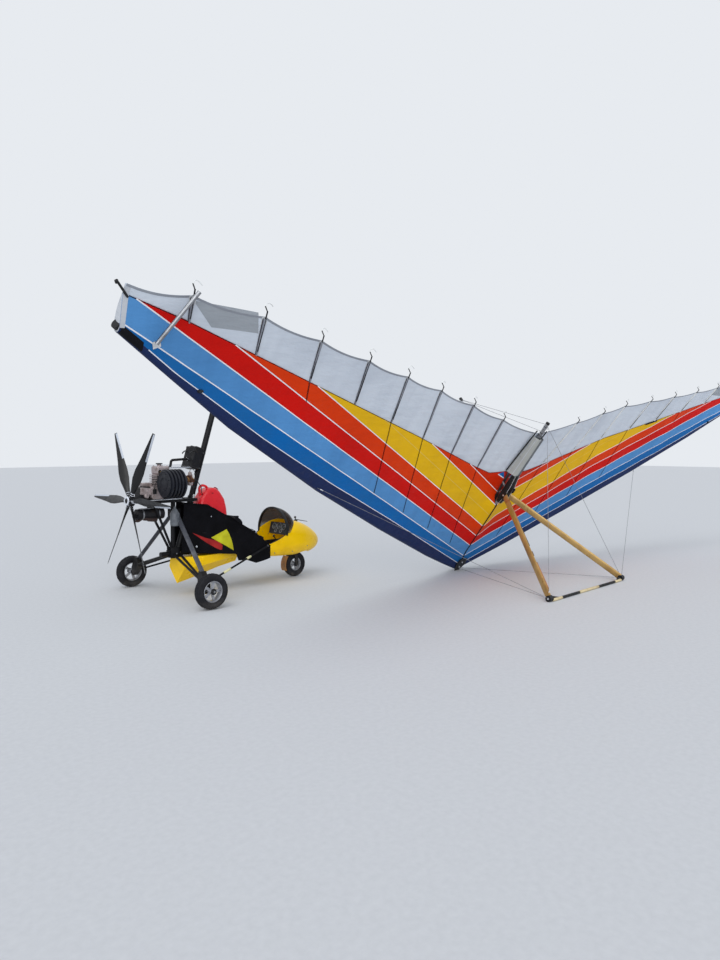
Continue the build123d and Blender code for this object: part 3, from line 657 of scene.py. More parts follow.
# Coarser cloths: colour, shade and threads
WOVEN_CLOTHS = {
    "black_cloth": ((11, 11, 14), (20, 20, 24), 120.0),
    "red_cloth": ((172, 48, 46), (138, 36, 38), 120.0),
    "yellow_cloth": ((208, 206, 50), (176, 170, 36), 120.0),
    "pale_tape": ((226, 222, 176), (196, 190, 140), 120.0),
    "seat_cloth": ((18, 18, 21), (30, 30, 35), 90.0),
}
# Metal, plastic, rubber and paint: material, colour, worn colour, roughness and the rest
PLAIN_FINISHES = {
    "black_frame": ("black_frame", (14, 14, 17), (28, 28, 32), 0.46, dict(dust=0.4, shine=0.2)),
    "leg_grey": ("leg_grey", (72, 74, 82), (100, 102, 106), 0.42, dict(metal=0.3)),
    "strut_black": ("strut_black", (9, 9, 12), (20, 20, 24), 0.65, dict(shine=0.15)),
    "metal": ("bare_metal", (150, 152, 156), (110, 108, 106), 0.34, dict(metal=0.9)),
    "bright": ("bright_metal", (206, 208, 212), (150, 150, 150), 0.25, dict(metal=0.9)),
    "hub_bright": ("hub_bright", (216, 220, 228), (176, 180, 188), 0.35, dict(metal=0.3)),
    "cast": ("cast_alloy", (178, 166, 166), (128, 114, 108), 0.5,
             dict(metal=0.4, patch=14.0, cover=(0.45, 0.7), grain=0.4, grain_size=180.0)),
    "engine_dark": ("engine_dark", (22, 22, 26), (48, 42, 38), 0.5,
                    dict(metal=0.3, patch=16.0, cover=(0.5, 0.75), grain=0.3)),
    "rust": ("rusted_steel", (104, 70, 54), (56, 38, 32), 0.8,
             dict(metal=0.2, patch=30.0, cover=(0.4, 0.65), grain=0.7)),
    "exhaust": ("exhaust_steel", (44, 36, 36), (76, 52, 42), 0.7,
                dict(metal=0.2, patch=20.0, cover=(0.45, 0.7), grain=0.5)),
    "rim": ("wheel_silver", (166, 168, 174), (104, 104, 104), 0.38,
            dict(metal=0.6, patch=22.0, cover=(0.5, 0.72), dust=0.2)),
    "tyre": ("tyre_rubber", (24, 24, 28), (36, 36, 40), 0.8,
             dict(patch=18.0, cover=(0.48, 0.7), grain=0.5, grain_size=400.0, dust=0.10, shine=0.25)),
    "plastic": ("black_plastic", (14, 14, 17), (30, 30, 34), 0.5, dict(grain=0.35)),
    "drum": ("drum_plastic", (20, 22, 31), (36, 38, 46), 0.5, dict(patch=12.0, cover=(0.5, 0.72), grain=0.3)),
    "rubber": ("hose_rubber", (18, 18, 21), (36, 36, 40), 0.7, dict(grain=0.3)),
    "guard": ("mudguard_brown", (168, 116, 60), (104, 74, 50), 0.5, dict(dust=0.4)),
    "tank": ("tank_red", (238, 40, 50), (214, 28, 38), 0.34,
             dict(patch=5.0, cover=(0.45, 0.75), grain=0.4, grain_size=520.0, coat=0.2)),
    "cap_red": ("cap_dark_red", (134, 12, 22), (96, 8, 18), 0.45, {}),
    "propeller": ("propeller_black", (11, 11, 13), (26, 26, 29), 0.42,
                  dict(patch=7.0, cover=(0.6, 0.8), grain=0.1, coat=0.1)),
    "tape": ("edge_tape", (184, 190, 200), (146, 150, 158), 0.45, dict(grain=0.1)),
    "gold": ("gold_tube", (186, 154, 96), (160, 126, 74), 0.36,
             dict(metal=0.35, patch=6.0, cover=(0.42, 0.68), grain=0.1, stretch=(1, 1, 0.35))),
    "brown_tape": ("brown_tape", (168, 110, 62), (128, 80, 44), 0.55, dict(cover=(0.42, 0.66), grain=0.3)),
    "worn_tape": ("worn_tape", (96, 66, 46), (52, 40, 34), 0.6,
                  dict(patch=24.0, cover=(0.36, 0.62), grain=0.5)),
    "bar": ("bar_black", (16, 16, 18), (34, 34, 36), 0.55, dict(grain=0.3)),
    "bar_tape": ("bar_tape", (206, 190, 152), (164, 142, 104), 0.65, dict(grain=0.4)),
    "wire": ("stay_wire", (132, 134, 140), (96, 96, 100), 0.35,
             dict(metal=0.85, grain=0.6, grain_size=900.0)),
    "white_plastic": ("white_plastic", (224, 226, 226), (190, 190, 188), 0.45, {}),
    "brass": ("brass_fitting", (176, 136, 70), (120, 86, 50), 0.35, dict(metal=0.9)),
    "dial": ("dial_face", (20, 22, 24), (30, 32, 34), 0.4, {}),
    "dial_marks": ("dial_marks", (226, 228, 224), (200, 200, 196), 0.5, {}),
    "bottle": ("grey_bottle", (104, 108, 114), (70, 74, 82), 0.4, dict(patch=12.0)),
}


def make_finishes(colours):
    """Makes every material once."""
    for key, shade in CLOTH_SHADES.items():
        FINISHES[key] = sailcloth(f"sail_{key}", (*getattr(colours, key), 1.0), colour_of(*shade))
    for key, (name, colour, shade, cover) in SAIL_CLOTHS.items():
        FINISHES[key] = sailcloth(name, colour_of(*colour), colour_of(*shade), cover)
    for key, (colour, shade, thread) in WOVEN_CLOTHS.items():
        FINISHES[key] = woven(key, colour_of(*colour), colour_of(*shade), thread)
    for key, (name, colour, worn, rough, rest) in PLAIN_FINISHES.items():
        FINISHES[key] = plain(name, colour_of(*colour), colour_of(*worn), rough, **rest)
    FINISHES["keel_cloth"] = gridded("keel_cloth", colour_of(116, 120, 122), colour_of(84, 88, 94))
    FINISHES["screen"] = clear_screen("screen_clear")
    FINISHES["pod"] = plain("pod_yellow", (*colours.pod, 1.0), colour_of(232, 184, 0), 0.30, patch=2.2,
                            cover=(0.5, 0.75), grain=0.05, coat=0.12, spread=0.06, shine=0.15)


# CAD nodes that keep their shape, and the finish of each
NODE_FINISHES = {
    "keel_tube": "black_frame", "mast": "black_frame", "mast_hang_bracket": "metal",
    "engine_rails": "black_frame", "engine_pylon": "black_frame", "rear_braces": "black_frame",
    "gear_legs": "leg_grey", "axle_struts": "black_frame", "drag_struts": "strut_black",
    "front_fork": "black_frame", "foot_bar": "metal", "mudguard": "guard",
    "front_rim": "rim", "rear_rim_left": "rim", "rear_rim_right": "rim",
    "seat_frame": "black_frame", "pod_shell": "pod", "belly_fairing": "pod",
    "instrument_panel": "plastic", "windscreen": "screen", "windscreen_frame": "plastic",
    "engine_crankcase": "cast", "engine_cylinder": "cast", "engine_head": "cast",
    "gearbox": "engine_dark", "intake_drum": "drum", "carburettor": "rust",
    "radiator": "engine_dark", "coolant_hose": "rubber", "muffler": "engine_dark",
    "propeller_hub": "plastic", "propeller_blades": "propeller",
    "battens": "plastic", "tip_struts": "metal", "tip_caps": "plastic", "wing_keel": "metal",
    "nose_plate": "plastic", "apex_bracket": "plastic", "downtubes": "gold", "base_bar": "bar",
    "corner_fittings": "plastic", "kingpost": "metal", "lower_stays": "wire", "upper_stays": "wire",
}


def laid(columns, rows, plan, surface, lift, side, thick=0.0012, bulge=None):
    """Cloth laid on one half of the sail: plan turns two shares into span and aft."""

    def place(u, v):
        span, aft = plan(u, v)
        high = surface(abs(span), aft) - lift - (bulge(v) if bulge else 0.0)
        return wing(side * span, aft, high)

    return sheet(columns, rows, place, thick)


def seam_plan(start, end, line, width):
    """The plan of a narrow tape along a line, from one span to another."""

    def plan(u, v):
        span = start + u * (end - start)
        step = 0.01
        slope = (line(span + step) - line(span - step)) / (2 * step)
        length = math.hypot(1.0, slope)
        off = (v - 0.5) * width
        return span - off * slope / length, line(span) + off / length

    return plan


def batten_plan(number, start, end, width, beside=0.0, taper=0.0):
    """The plan of a strip along or beside a batten, narrower by taper where it starts."""
    place, rear = BATTENS[number]

    def plan(u, v):
        aft = start + u * (end - start)
        share = 1 - taper * (1 - u)
        return place - BATTEN_TOE * (rear - aft) + share * (beside + (v - 0.5) * width), aft

    return plan


def meets_edge(at_keel):
    """The span at which a straight seam reaches the double surface's rear edge."""
    low, high = 0.0, TIP
    if seam_aft(TIP, at_keel) < at(TIP, EDGE):
        return TIP
    for _ in range(40):
        middle = (low + high) / 2
        if seam_aft(middle, at_keel) < at(middle, EDGE):
            low = middle
        else:
            high = middle
    return low


SIDES = (("right", 1), ("left", -1))
PANEL_FINISHES = ("navy", "blue", "sky", "red", "orange", "yellow", "orange", "scarlet")
NOSE_ROWS = 7
PANEL_ROWS = (4, 5, 5, 5, 5, 8, 4, 5)


def under_rows(span):
    """Distances aft of the lower cloth's rows at a span, and the panel that each row starts."""
    lead, edge = at(span, LEAD) + NOSE_DEPTH, at(span, EDGE)
    limits = [lead, navy_aft(span), *[seam_aft(span, item) for item in SEAMS], edge]
    limits = [min(edge, max(lead, item)) for item in limits]
    rows, panels = [], []
    for number, count in enumerate(PANEL_ROWS):
        first, last = limits[number], limits[number + 1]
        for step in range(count):
            rows.append(first + (last - first) * step / count)
            panels.append(number)
    rows.append(edge)
    return rows, panels


def nose_point(span, share):
    """A point of the cloth round the leading edge, from its top at 0 to its underside at 1."""
    lead, foot = at(span, LEAD), at(span, FOOT)
    centre_z = (foot + NOSE_DEPTH) / 2
    centre_x = NOSE_DEPTH - centre_z
    radius = math.hypot(centre_x, centre_z)
    top = math.atan2(NOSE_DEPTH - centre_z, NOSE_DEPTH - centre_x)
    bottom = 2 * math.pi + math.atan2(foot - centre_z, NOSE_DEPTH - centre_x)
    angle = top + share * (bottom - top)
    return lead + centre_x + radius * math.cos(angle), centre_z + radius * math.sin(angle)


def wing_spans():
    """Spans of the sail's columns, with one at every station and batten."""
    spans = {round(TIP * step / 130, 4) for step in range(131)}
    spans |= {row[SPAN] for row in STATIONS}
    spans |= {row[SPAN] for row in BATTENS}
    spans |= {round(meets_edge(item), 4) for item in SEAMS}
    ordered = sorted(spans)
    return [item for item, after in zip(ordered, ordered[1:] + [99]) if after - item > 0.004]


def painted(keys, columns, key_of_row):
    """Gives the active grid its cloths, one for each row of faces."""
    data = bpy.context.object.data
    for key in keys:
        data.materials.append(FINISHES[key])
    for index, face in enumerate(data.polygons):
        face.material_index = key_of_row(index // columns)


def build_lower_sail(side):
    """The coloured lower surface of one half, round the leading edge and back to its rear edge."""
    spans = wing_spans()
    rows_of = [under_rows(span)[0] for span in spans]
    columns, count = len(spans) - 1, NOSE_ROWS + len(rows_of[0]) - 1

    def place(u, v):
        column, row = round(u * columns), round(v * count)
        span = spans[column]
        if row < NOSE_ROWS:
            aft, high = nose_point(span, row / NOSE_ROWS)
            return wing(side * span, aft, high)
        aft = rows_of[column][row - NOSE_ROWS]
        inner = 0.034 * ease((aft - 0.98) / 0.08)
        return wing(side * max(span, inner), aft, under(span, aft))

    grid(columns, count, place)
    panels = under_rows(0.0)[1]
    painted(PANEL_FINISHES, columns, lambda row: panels[row - NOSE_ROWS] if row >= NOSE_ROWS else 0)
    return thickened(SAIL_THICK)


def build_upper_sail(side):
    """The upper surface of one half, which alone goes on to the trailing edge."""
    spans = wing_spans()
    columns, front_rows, rear_rows, navy_rows = len(spans) - 1, 26, 14, 5

    def place(u, v):
        span = spans[round(u * columns)]
        row = round(v * (front_rows + rear_rows))
        start, edge = at(span, LEAD) + NOSE_DEPTH, at(span, EDGE)
        if row <= front_rows:
            aft = start + (edge - start) * row / front_rows
        else:
            aft = edge + (trail_at(span) - edge) * (row - front_rows) / rear_rows
        return wing(side * span, aft, over(span, aft))

    grid(columns, front_rows + rear_rows, place)
    painted(("white", "navy"), columns, lambda row: 1 if row < navy_rows else 0)
    return thickened(SAIL_THICK)


LOWER_NODES = ("sail_navy", "sail_blue", "sail_sky", "sail_red", "sail_orange", "sail_yellow", "sail_aft_red")

# Each kind of trim on the sail, its slot and the cloth that carries it
TRIM_SLOTS = {
    "piping": ("cloth_white", "lower"), "faint": ("cloth_yellow", "lower"),
    "edge_line": ("black_cloth", "lower"), "thread": ("black_cloth", "lower"),
    "gap": ("black_cloth", "lower"), "patch": ("cloth_white", "upper"),
    "tip_grey": ("cloth_grey", "lower"), "blue": ("cloth_blue", "lower"),
    "pocket": ("cloth_grey", "upper"), "pocket_line": ("cloth_grey", "upper"),
    "hem": ("cloth_grey", "upper"), "band_grey": ("cloth_grey", "upper"),
}


def corner_plan(first, second, third, fourth):
    """The plan of a patch between four corners."""

    def plan(u, v):
        low = Vector(first).lerp(Vector(second), u)
        high = Vector(fourth).lerp(Vector(third), u)
        return tuple(low.lerp(high, v))

    return plan


def pocket_bulge(v):
    """How far a batten pocket stands out across its width."""
    middle = abs(v - 0.5) * 2
    return 0.012 * ease((0.66 - middle) / 0.34)


def build_sail_trim(side):
    """Seam piping, batten pockets, painted shadows of the battens, tip patches and edge tapes of one half."""
    groups = {key: [] for key in TRIM_SLOTS}

    def add(key, plan, columns, surface, lift, thick, rows=1, bulge=None):
        groups[key].append(laid(columns, rows, plan, surface, lift, side, thick, bulge))

    for at_keel in SEAMS:
        plan = seam_plan(0.012, meets_edge(at_keel) - 0.01, lambda span, a=at_keel: seam_aft(span, a), 0.0078)
        add("piping", plan, 90, under, 0.0016, 0.0012)
    add("piping", seam_plan(0.012, TIP - 0.22, navy_aft, 0.006), 100, under, 0.0014, 0.001)
    plan = seam_plan(0.02, meets_edge(FAINT_SEAM) - 0.02, lambda span: seam_aft(span, FAINT_SEAM), 0.006)
    add("faint", plan, 60, under, 0.0012, 0.0006)
    # a dark translucent line just inside the double surface's rear edge is painted shade along the step there
    plan = seam_plan(0.06, TIP, lambda span: at(span, EDGE) - 0.003, 0.0055)
    add("edge_line", plan, 90, under, 0.0012, 0.0008)
    for number in range(1, len(BATTENS) - 1):
        place, rear = BATTENS[number]
        edge = at(place, EDGE) - 0.02
        wide = 0.030 if number < 7 else 0.038
        # the pockets are the same cloth on both halves: on the far half they take the white patch cloth as
        # painted light, and on the near half a darker grey that is partly painted shade
        key = "pocket" if side < 0 else "patch"
        plan = batten_plan(number, edge, rear - 0.012, wide, 0.0, 0.5)
        add(key, plan, 14, over, 0.0018, 0.0008, 12, pocket_bulge)
        # a dark line along one flank of each near-half pocket is a painted shadow
        if side < 0:
            plan = batten_plan(number, edge, rear - 0.020, 0.0085, -side * wide * 0.42, 0.5)
            add("pocket_line", plan, 14, over, 0.0052, 0.0008)
        plan = batten_plan(number, rear - 0.060, rear - 0.004, wide + 0.010)
        add("patch", plan, 3, over, 0.0012, 0.0016, 3)
        # painted shadows of the battens inside, as dark translucent strips on the lower cloth near the root,
        # and a short one farther out
        if number < 5 or number == 6:
            root = place - BATTEN_TOE * (rear - edge)
            front = max(seam_aft(root - 0.12, SEAMS[0]), at(root, LEAD) + 0.12)
            if number == 6:
                front = edge - 0.16
            add("thread", batten_plan(number, front, edge, 0.014), 30, under, 0.0024, 0.0006)
    plan = seam_plan(0.09, TIP - 0.01, lambda span: trail_at(span) - 0.008, 0.014)
    add("hem", plan, 150, over, 0.0014, 0.0012)
    # on the right half a black strip at the rear edge is painted shade inside a slot there
    if side > 0:
        plan = seam_plan(2.76, 3.02, lambda span: at(span, EDGE) - 0.010, 0.026)
        add("gap", plan, 8, under, 0.0034, 0.001)
    patches = (
        ("gap", under_nose, 0.0022, (5.000, 2.640), (5.163, 2.738), (5.174, 2.684), (5.006, 2.586)),
        ("tip_grey", under_tip, 0.0026, (5.146, 2.720), (5.179, 2.722), (5.179, 2.936), (5.142, 2.934)),
        ("patch", under, 0.0030, (4.875, 2.618), (4.928, 2.600), (4.942, 2.640), (4.888, 2.656)),
        # a grey see-through band near the tip is painted shade where doubled cloth shows through the sail
        ("band_grey", over, 0.0012, (4.539, 2.753), (4.166, 2.748), (4.231, 2.895), (4.726, 2.911)),
        ("blue", under, 0.0022, (0.048, 1.372), (0.189, 1.424), (0.150, 1.440), (0.109, 1.452)),
    )
    for key, surface, lift, *corners in patches:
        add(key, corner_plan(*corners), 10, surface, lift, 0.0010, 8)
    groups["tip_grey"].append(sheet(24, 6, lambda u, v: tip_wall(side, u, v), 0.0010))
    rim = corner_plan((0.048, 1.372), (0.189, 1.424), (0.193, 1.414), (0.052, 1.362))
    add("piping", rim, 10, under, 0.0028, 0.001)
    return groups


def nose_circle(span, aft):
    """The middle and half height of the cloth round the leading edge at a distance aft."""
    middle = (at(span, FOOT) + NOSE_DEPTH) / 2
    radius = math.hypot(NOSE_DEPTH - middle, middle)
    off = aft - at(span, LEAD) - NOSE_DEPTH + middle
    return middle, math.sqrt(max(0.0, radius * radius - off * off))


def under_nose(span, aft):
    """The lower cloth's height, carried on round the leading edge."""
    if aft > at(span, LEAD) + NOSE_DEPTH:
        return under(span, aft)
    middle, half = nose_circle(span, aft)
    return middle - half


def under_tip(span, aft):
    """The lower cloth's height at the tip, going over to the single cloth behind its rear edge."""
    return under(span, aft) if aft < at(span, EDGE) else over(span, aft)


def tip_wall(side, u, v):
    """The cloth that closes the sail's end, from the leading edge back to the rear edge."""
    lead, edge = at(TIP, LEAD), at(TIP, EDGE)
    aft = lead + u * (edge - lead)
    if aft > lead + NOSE_DEPTH:
        low, high = under(TIP, aft), over(TIP, aft)
    else:
        middle, half = nose_circle(TIP, aft)
        low, high = middle - half, middle + half
    return wing(side * (TIP + 0.003 * math.sin(math.pi * v)), aft, low + v * (high - low))


class AircraftSizes(bpy.types.PropertyGroup):
    """Sizes of the trim that Blender adds to the frame."""

    tyre_groove: bpy.props.FloatProperty(
        name="Tread groove", description="Depth of the grooves in the tyres' tread",
        default=0.004, min=0.0, max=0.01, unit="LENGTH")
    stay_ferrule: bpy.props.FloatProperty(
        name="Ferrule length", description="Length of the crimped ferrules on the stays",
        default=0.030, min=0.01, max=0.08, unit="LENGTH")
    tape_start: bpy.props.FloatProperty(
        name="Edge tape start", description="Radius at which the blades' edge tape begins",
        default=0.46, min=0.2, max=0.7, unit="LENGTH")
    floor_size: bpy.props.FloatProperty(
        name="Floor size", description="Width of the studio floor",
        default=90.0, min=20.0, max=200.0, unit="LENGTH")


def colour_property(title, purpose, *screen):
    return bpy.props.FloatVectorProperty(
        name=title, description=purpose, subtype="COLOR", size=3, min=0.0, max=1.0,
        default=colour_of(*screen)[:3])


class AircraftColours(bpy.types.PropertyGroup):
    """Colours that an owner would choose."""

    navy: colour_property("Leading edge", "Cloth of the leading edge", 26, 38, 76)
    blue: colour_property("Blue panel", "Second panel of the lower surface", 0, 98, 172)
    sky: colour_property("Sky panel", "Third panel of the lower surface", 88, 148, 206)
    red: colour_property("Red panel", "Fourth panel of the lower surface", 210, 16, 6)
    orange: colour_property("Orange panel", "Fifth panel of the lower surface", 220, 60, 6)
    yellow: colour_property("Yellow panel", "Sixth panel of the lower surface", 232, 184, 14)
    scarlet: colour_property("Root panel", "Short panel at the root", 206, 40, 2)
    white: colour_property("Upper surface", "Cloth of the upper surface", 212, 219, 228)
    pod: colour_property("Pod", "Gloss coat of the pod and the belly fairing", 255, 206, 0)


def aimed(direction):
    """The rotation that turns a camera or a lamp to a direction."""
    return Vector(direction).to_track_quat("-Z", "Y").to_euler()


def studio_world():
    """A pale world: a blue light on the model, and a brighter grey where the camera or a gloss sees it."""
    world = bpy.data.worlds.new("studio")
    world.use_nodes = True
    tree = world.node_tree
    light = tree.nodes["Background"]
    light.inputs["Color"].default_value = (0.86, 0.92, 1.0, 1)
    light.inputs["Strength"].default_value = 0.62
    seen = tree.nodes.new("ShaderNodeBackground")
    seen.inputs["Color"].default_value = (0.80, 0.83, 0.87, 1)
    seen.inputs["Strength"].default_value = 1.0
    rays = tree.nodes.new("ShaderNodeLightPath")
    share = rays.outputs["Is Camera Ray"]
    for kind in ("Is Transmission Ray", "Is Glossy Ray"):
        either = tree.nodes.new("ShaderNodeMath")
        either.operation = "MAXIMUM"
        tree.links.new(share, either.inputs[0])
        tree.links.new(rays.outputs[kind], either.inputs[1])
        share = either.outputs[0]
    mix = tree.nodes.new("ShaderNodeMixShader")
    tree.links.new(share, mix.inputs["Fac"])
    tree.links.new(light.outputs[0], mix.inputs[1])
    tree.links.new(seen.outputs[0], mix.inputs[2])
    tree.links.new(mix.outputs[0], tree.nodes["World Output"].inputs["Surface"])
    return world


class AIRCRAFT_OT_stage(bpy.types.Operator):
    """Make the camera, the pale floor and the soft studio light"""

    bl_idname = "aircraft.stage"
    bl_label = "Stage, camera and light"

    def execute(self, context):
        scene = context.scene
        scene.view_settings.view_transform = "Standard"
        deselect()
        look = CAMERA_LOOK.normalized() * math.cos(CAMERA_DOWN) - Vector((0, 0, math.sin(CAMERA_DOWN)))
        bpy.ops.object.camera_add(location=CAMERA_PLACE, rotation=aimed(look))
        camera = context.object
        camera.data.lens = CAMERA_LENS
        camera.data.sensor_width = 36.0
        camera.data.clip_end = 200.0
        scene.camera = camera
        deselect()
        bpy.ops.mesh.primitive_plane_add(size=scene.aircraft_sizes.floor_size, location=(0, 0, -0.0005))
        floor = context.object
        floor.name = "floor"
        nodes = Nodes("floor_pale")
        speckle = nodes.spread(nodes.noise(30.0, 4.0), 0.3, 0.7)
        shown = nodes.mixed(speckle, (0.60, 0.61, 0.63, 1), (0.64, 0.65, 0.67, 1))
        floor.data.materials.append(nodes.set(Base_Color=shown, Roughness=0.9, Specular_IOR_Level=0.2))
        scene.world = studio_world()
        # name, aim, strength and width of each sun
        lights = (("key", (0.55, 0.25, -0.80), 1.2, 50.0), ("fill", (0.42, 0.90, -0.07), 1.9, 60.0))
        for name, aim, power, angle in lights:
            deselect()
            bpy.ops.object.light_add(type="SUN", location=(0, 0, 8), rotation=aimed(aim))
            lamp = context.object
            lamp.name = lamp.data.name = name
            lamp.data.energy = power
            lamp.data.angle = math.radians(angle)
        return {"FINISHED"}


class AIRCRAFT_OT_finishes(bpy.types.Operator):
    """Make the materials and give the CAD nodes theirs"""

    bl_idname = "aircraft.finishes"
    bl_label = "Finishes"

    def execute(self, context):
        make_finishes(context.scene.aircraft_colours)
        for name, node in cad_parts.items():
            finish = FINISHES[NODE_FINISHES.get(name, "plastic")]
            for slot in node.material_slots:
                slot.material = finish
        return {"FINISHED"}


class AIRCRAFT_OT_sail(bpy.types.Operator):
    """Make the sail's lower and upper cloth with its seams, pockets and patches"""

    bl_idname = "aircraft.sail"
    bl_label = "Sail"

    def execute(self, context):
        for name, side in SIDES:
            carried = {"lower": [], "upper": []}
            for key, parts in build_sail_trim(side).items():
                if parts:
                    slot, cloth = TRIM_SLOTS[key]
                    finish = "pocket" if key == "hem" else key
                    carried[cloth].append(piece_of(f"sail_{key}_{name}", parts, finish, 60))
            lower = piece_of(f"lower_sail_{name}", [build_lower_sail(side)], None, 60)
            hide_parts(*LOWER_NODES)
            upper = piece_of(f"upper_sail_{name}", [build_upper_sail(side)], None, 60)
            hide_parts(f"sail_upper_{name}")
        return {"FINISHED"}


class AIRCRAFT_OT_wing_fittings(bpy.types.Operator):
    """Make the keel's covers, the batten ends, the bar's tapes and the stays' ends"""

    bl_idname = "aircraft.wing_fittings"
    bl_label = "Wing fittings"

    def execute(self, context):
        self.keel()
        self.apex()
        self.batten_ends()
        self.control_frame()
        self.ferrules(context.scene.aircraft_sizes.stay_ferrule)
        return {"FINISHED"}

    def keel(self):
        """The keel's seam, its two covers and its rear end."""

        def seam(u, v):
            aft = 0.03 + u * 1.02
            return wing((v - 0.5) * 0.026, aft, under(abs(v - 0.5) * 0.026, aft) - 0.002)

        piece_of("keel_seam", [sheet(60, 4, seam, 0.0014)], "gap")
        for name, side in SIDES:
            self.keel_cover(name, side)
        along = wing_way(0, 1, 0)
        bands = [ring(wing(0, aft, -0.002), along, 0.0222, 0.0028) for aft in (2.02, 2.052, 2.135)]
        piece_of("keel_end_bands", bands, "plastic")
        cap = bar(wing(0, 2.168, -0.002), wing(0, 2.192, -0.002), 0.0225, soft=0.004)
        piece_of("keel_end_cap", [cap], "plastic")

    def keel_cover(self, name, side):
        """One face of the grey pocket round the keel: gridded and darker on its right, paler on its left, the
        difference in lightness being painted light and shade.
        """

        def sleeve(u, v):
            aft = 1.473 + u * 0.518
            top = 0.0625 + (0.0255 - 0.0625) * u
            out = 0.047 + 0.046 * (top + 0.046) / 0.107
            fold = 0.0035 * noise.noise(Vector((u * 6, v * 3, side * 2.0)))
            if v < 0.3:
                return wing(side * 0.047 * v / 0.3, aft, -0.0465 + fold * v)
            part = (v - 0.3) / 0.7
            bow = 0.004 * math.sin(math.pi * part) + fold * math.sin(math.pi * part)
            return wing(side * (0.047 + (out - 0.047) * part + bow), aft, -0.0465 + (top + 0.0465) * part)

        # the left face's paler cloth is painted light, and the right face's darker gridded cloth is partly
        # painted shade
        finish = "keel_cloth" if side > 0 else "keel_cloth_painted_light"
        cover = piece_of(f"keel_cover_{name}", [sheet(30, 20, sleeve, 0.0012)], finish, 60)
        off = wing_way(side * 0.0016, 0, -0.0008)

        def tape(share):
            return sheet(20, 1, lambda u, v: sleeve(0.02 + 0.96 * u, share + (v - 0.5) * 0.05) + off, 0.0008)

        tapes = [tape(share) for share in ((0.52, 0.86) if side < 0 else (0.36,))]
        tapes = piece_of(f"keel_cover_tapes_{name}", tapes, "tip_grey", 60)
        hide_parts("keel_pocket")

    def apex(self):
        """The black cover of the apex, its bolts and two white lines along it that are painted highlights."""

        def cover(u, v):
            half = 0.030 + 0.032 * ease(u / 0.25) - 0.014 * ease((u - 0.6) / 0.4)
            depth = 0.052 + 0.030 * ease(u / 0.3) - 0.030 * ease((u - 0.55) / 0.45)
            angle = math.pi * v
            return wing(-half * math.cos(angle), 1.085 + u * 0.40, -0.012 - depth * math.sin(angle) ** 0.7)

        piece_of("apex_cover", [sheet(16, 18, cover, 0.003)], "plastic", 60)
        bolts = []
        for side in (1, -1):
            bolts += bolt(wing(side * 0.0605, 1.209, -0.062), (side, 0, 0), 0.010)
        piece_of("apex_bolts", bolts, "bright")
        # two thin white tubes along the cover are painted highlights
        off = wing_way(0, 0, -0.0025)
        edges = [tube([cover(u / 12, v) + off for u in range(13)], 0.0016, 2) for v in (0.22, 0.62)]
        piece_of("apex_painted_highlights", edges, "white_plastic")

    def batten_ends(self):
        """The string loops at the battens' ends, and the knobs at the tips."""
        curls, knobs = [], []
        for name, side in SIDES:
            for place, rear in BATTENS[1:-1]:
                across, high = side * (place + BATTEN_TOE * 0.042), at(place, TRAIL_HIGH) + 0.026
                start = Vector((across, rear + 0.057, high))
                reach = 0.9 + 0.35 * noise.noise(Vector((place * 3.7, side * 1.9, 0.4)))
                droop = 0.020 * noise.noise(Vector((place * 2.3, side * 4.1, 6.0)))
                bend = [(0, 0, 0), (0.004, 0.012, 0.010), (0.020, 0.024, 0.016),
                        (0.046, 0.020 + droop, 0.012), (0.070, 0.002 + droop, 0.004)]
                curls.append(tube([wing(*(start + Vector(step) * reach)) for step in bend], 0.0030, 2))
        piece_of("batten_end_loops", curls, "white_plastic")
        for name, side in SIDES:
            foot = wing(side * 4.515, 2.338, under(4.515, 2.338) - 0.004)
            knobs.append(ball(foot, 0.024, (1, 1, 0.5)))
        for name, side in SIDES:
            end = wing(side * 5.226, 2.948, 0.042)
            knobs.append(bar(end, wing(side * 5.236, 2.964, 0.045), 0.011, soft=0.002))
            end = wing(side * 5.156, 2.888, 0.031)
            knobs.append(bar(end, wing(side * 5.230, 2.960, 0.043), 0.0074, soft=0.001))
        piece_of("wing_knobs", knobs, "plastic")

    def control_frame(self):
        """Tape and worn patches on the downtubes and the bar, the wing's bolts and the kingpost's collar."""
        ahead = wing_way(0, -1, 0)
        top, foot = wing(-0.036, 1.209, -0.066), wing(-0.782, 1.074, -1.455)
        for name, finish, spans in (
            ("upper_wrap", "brown_tape", ((0.07, 0.34),)),
            ("worn_wraps", "worn_tape", ((0.345, 0.43), (0.47, 0.54), (0.60, 0.635))),
            ("lower_wraps", "brown_tape", ((0.435, 0.465), (0.70, 0.93))),
        ):
            sleeves = [oval_bar(top.lerp(foot, low), top.lerp(foot, high), 0.0738, 0.0298, ahead)
                       for low, high in spans]
            piece_of(f"downtube_{name}", sleeves, finish)
        tapes = [bar(wing(start, BAR_AFT, BAR_HIGH), wing(end, BAR_AFT, BAR_HIGH), 0.0148,
                     sides=24, soft=0.0005)
                 for start, end in ((-0.755, -0.585), (-0.226, 0.192), (0.579, 0.731))]
        piece_of("bar_tapes", tapes, "bar_tape")
        bolts = []
        for name, side in SIDES:
            bolts += bolt(wing(side * 0.815, BAR_AFT, FITTING_HIGH), (side, 0, 0), 0.009)
            bolts += bolt(wing(side * 0.775, BAR_AFT - 0.012, -1.410), ahead, 0.007)
        for aft in (0.075, 0.150):
            bolts += bolt(wing(0, aft, -0.070), wing_way(0, 0, -1), 0.010)
        piece_of("wing_bolts", bolts, "bright")
        collar = [ring(wing(0, 1.302, 0.122), wing_way(0, 0, 1), 0.020, 0.006)]
        collar.append(bar(wing(0, 1.722, 1.115), wing(0, 1.735, 1.160), 0.019, soft=0.004))
        piece_of("kingpost_collar", collar, "plastic")

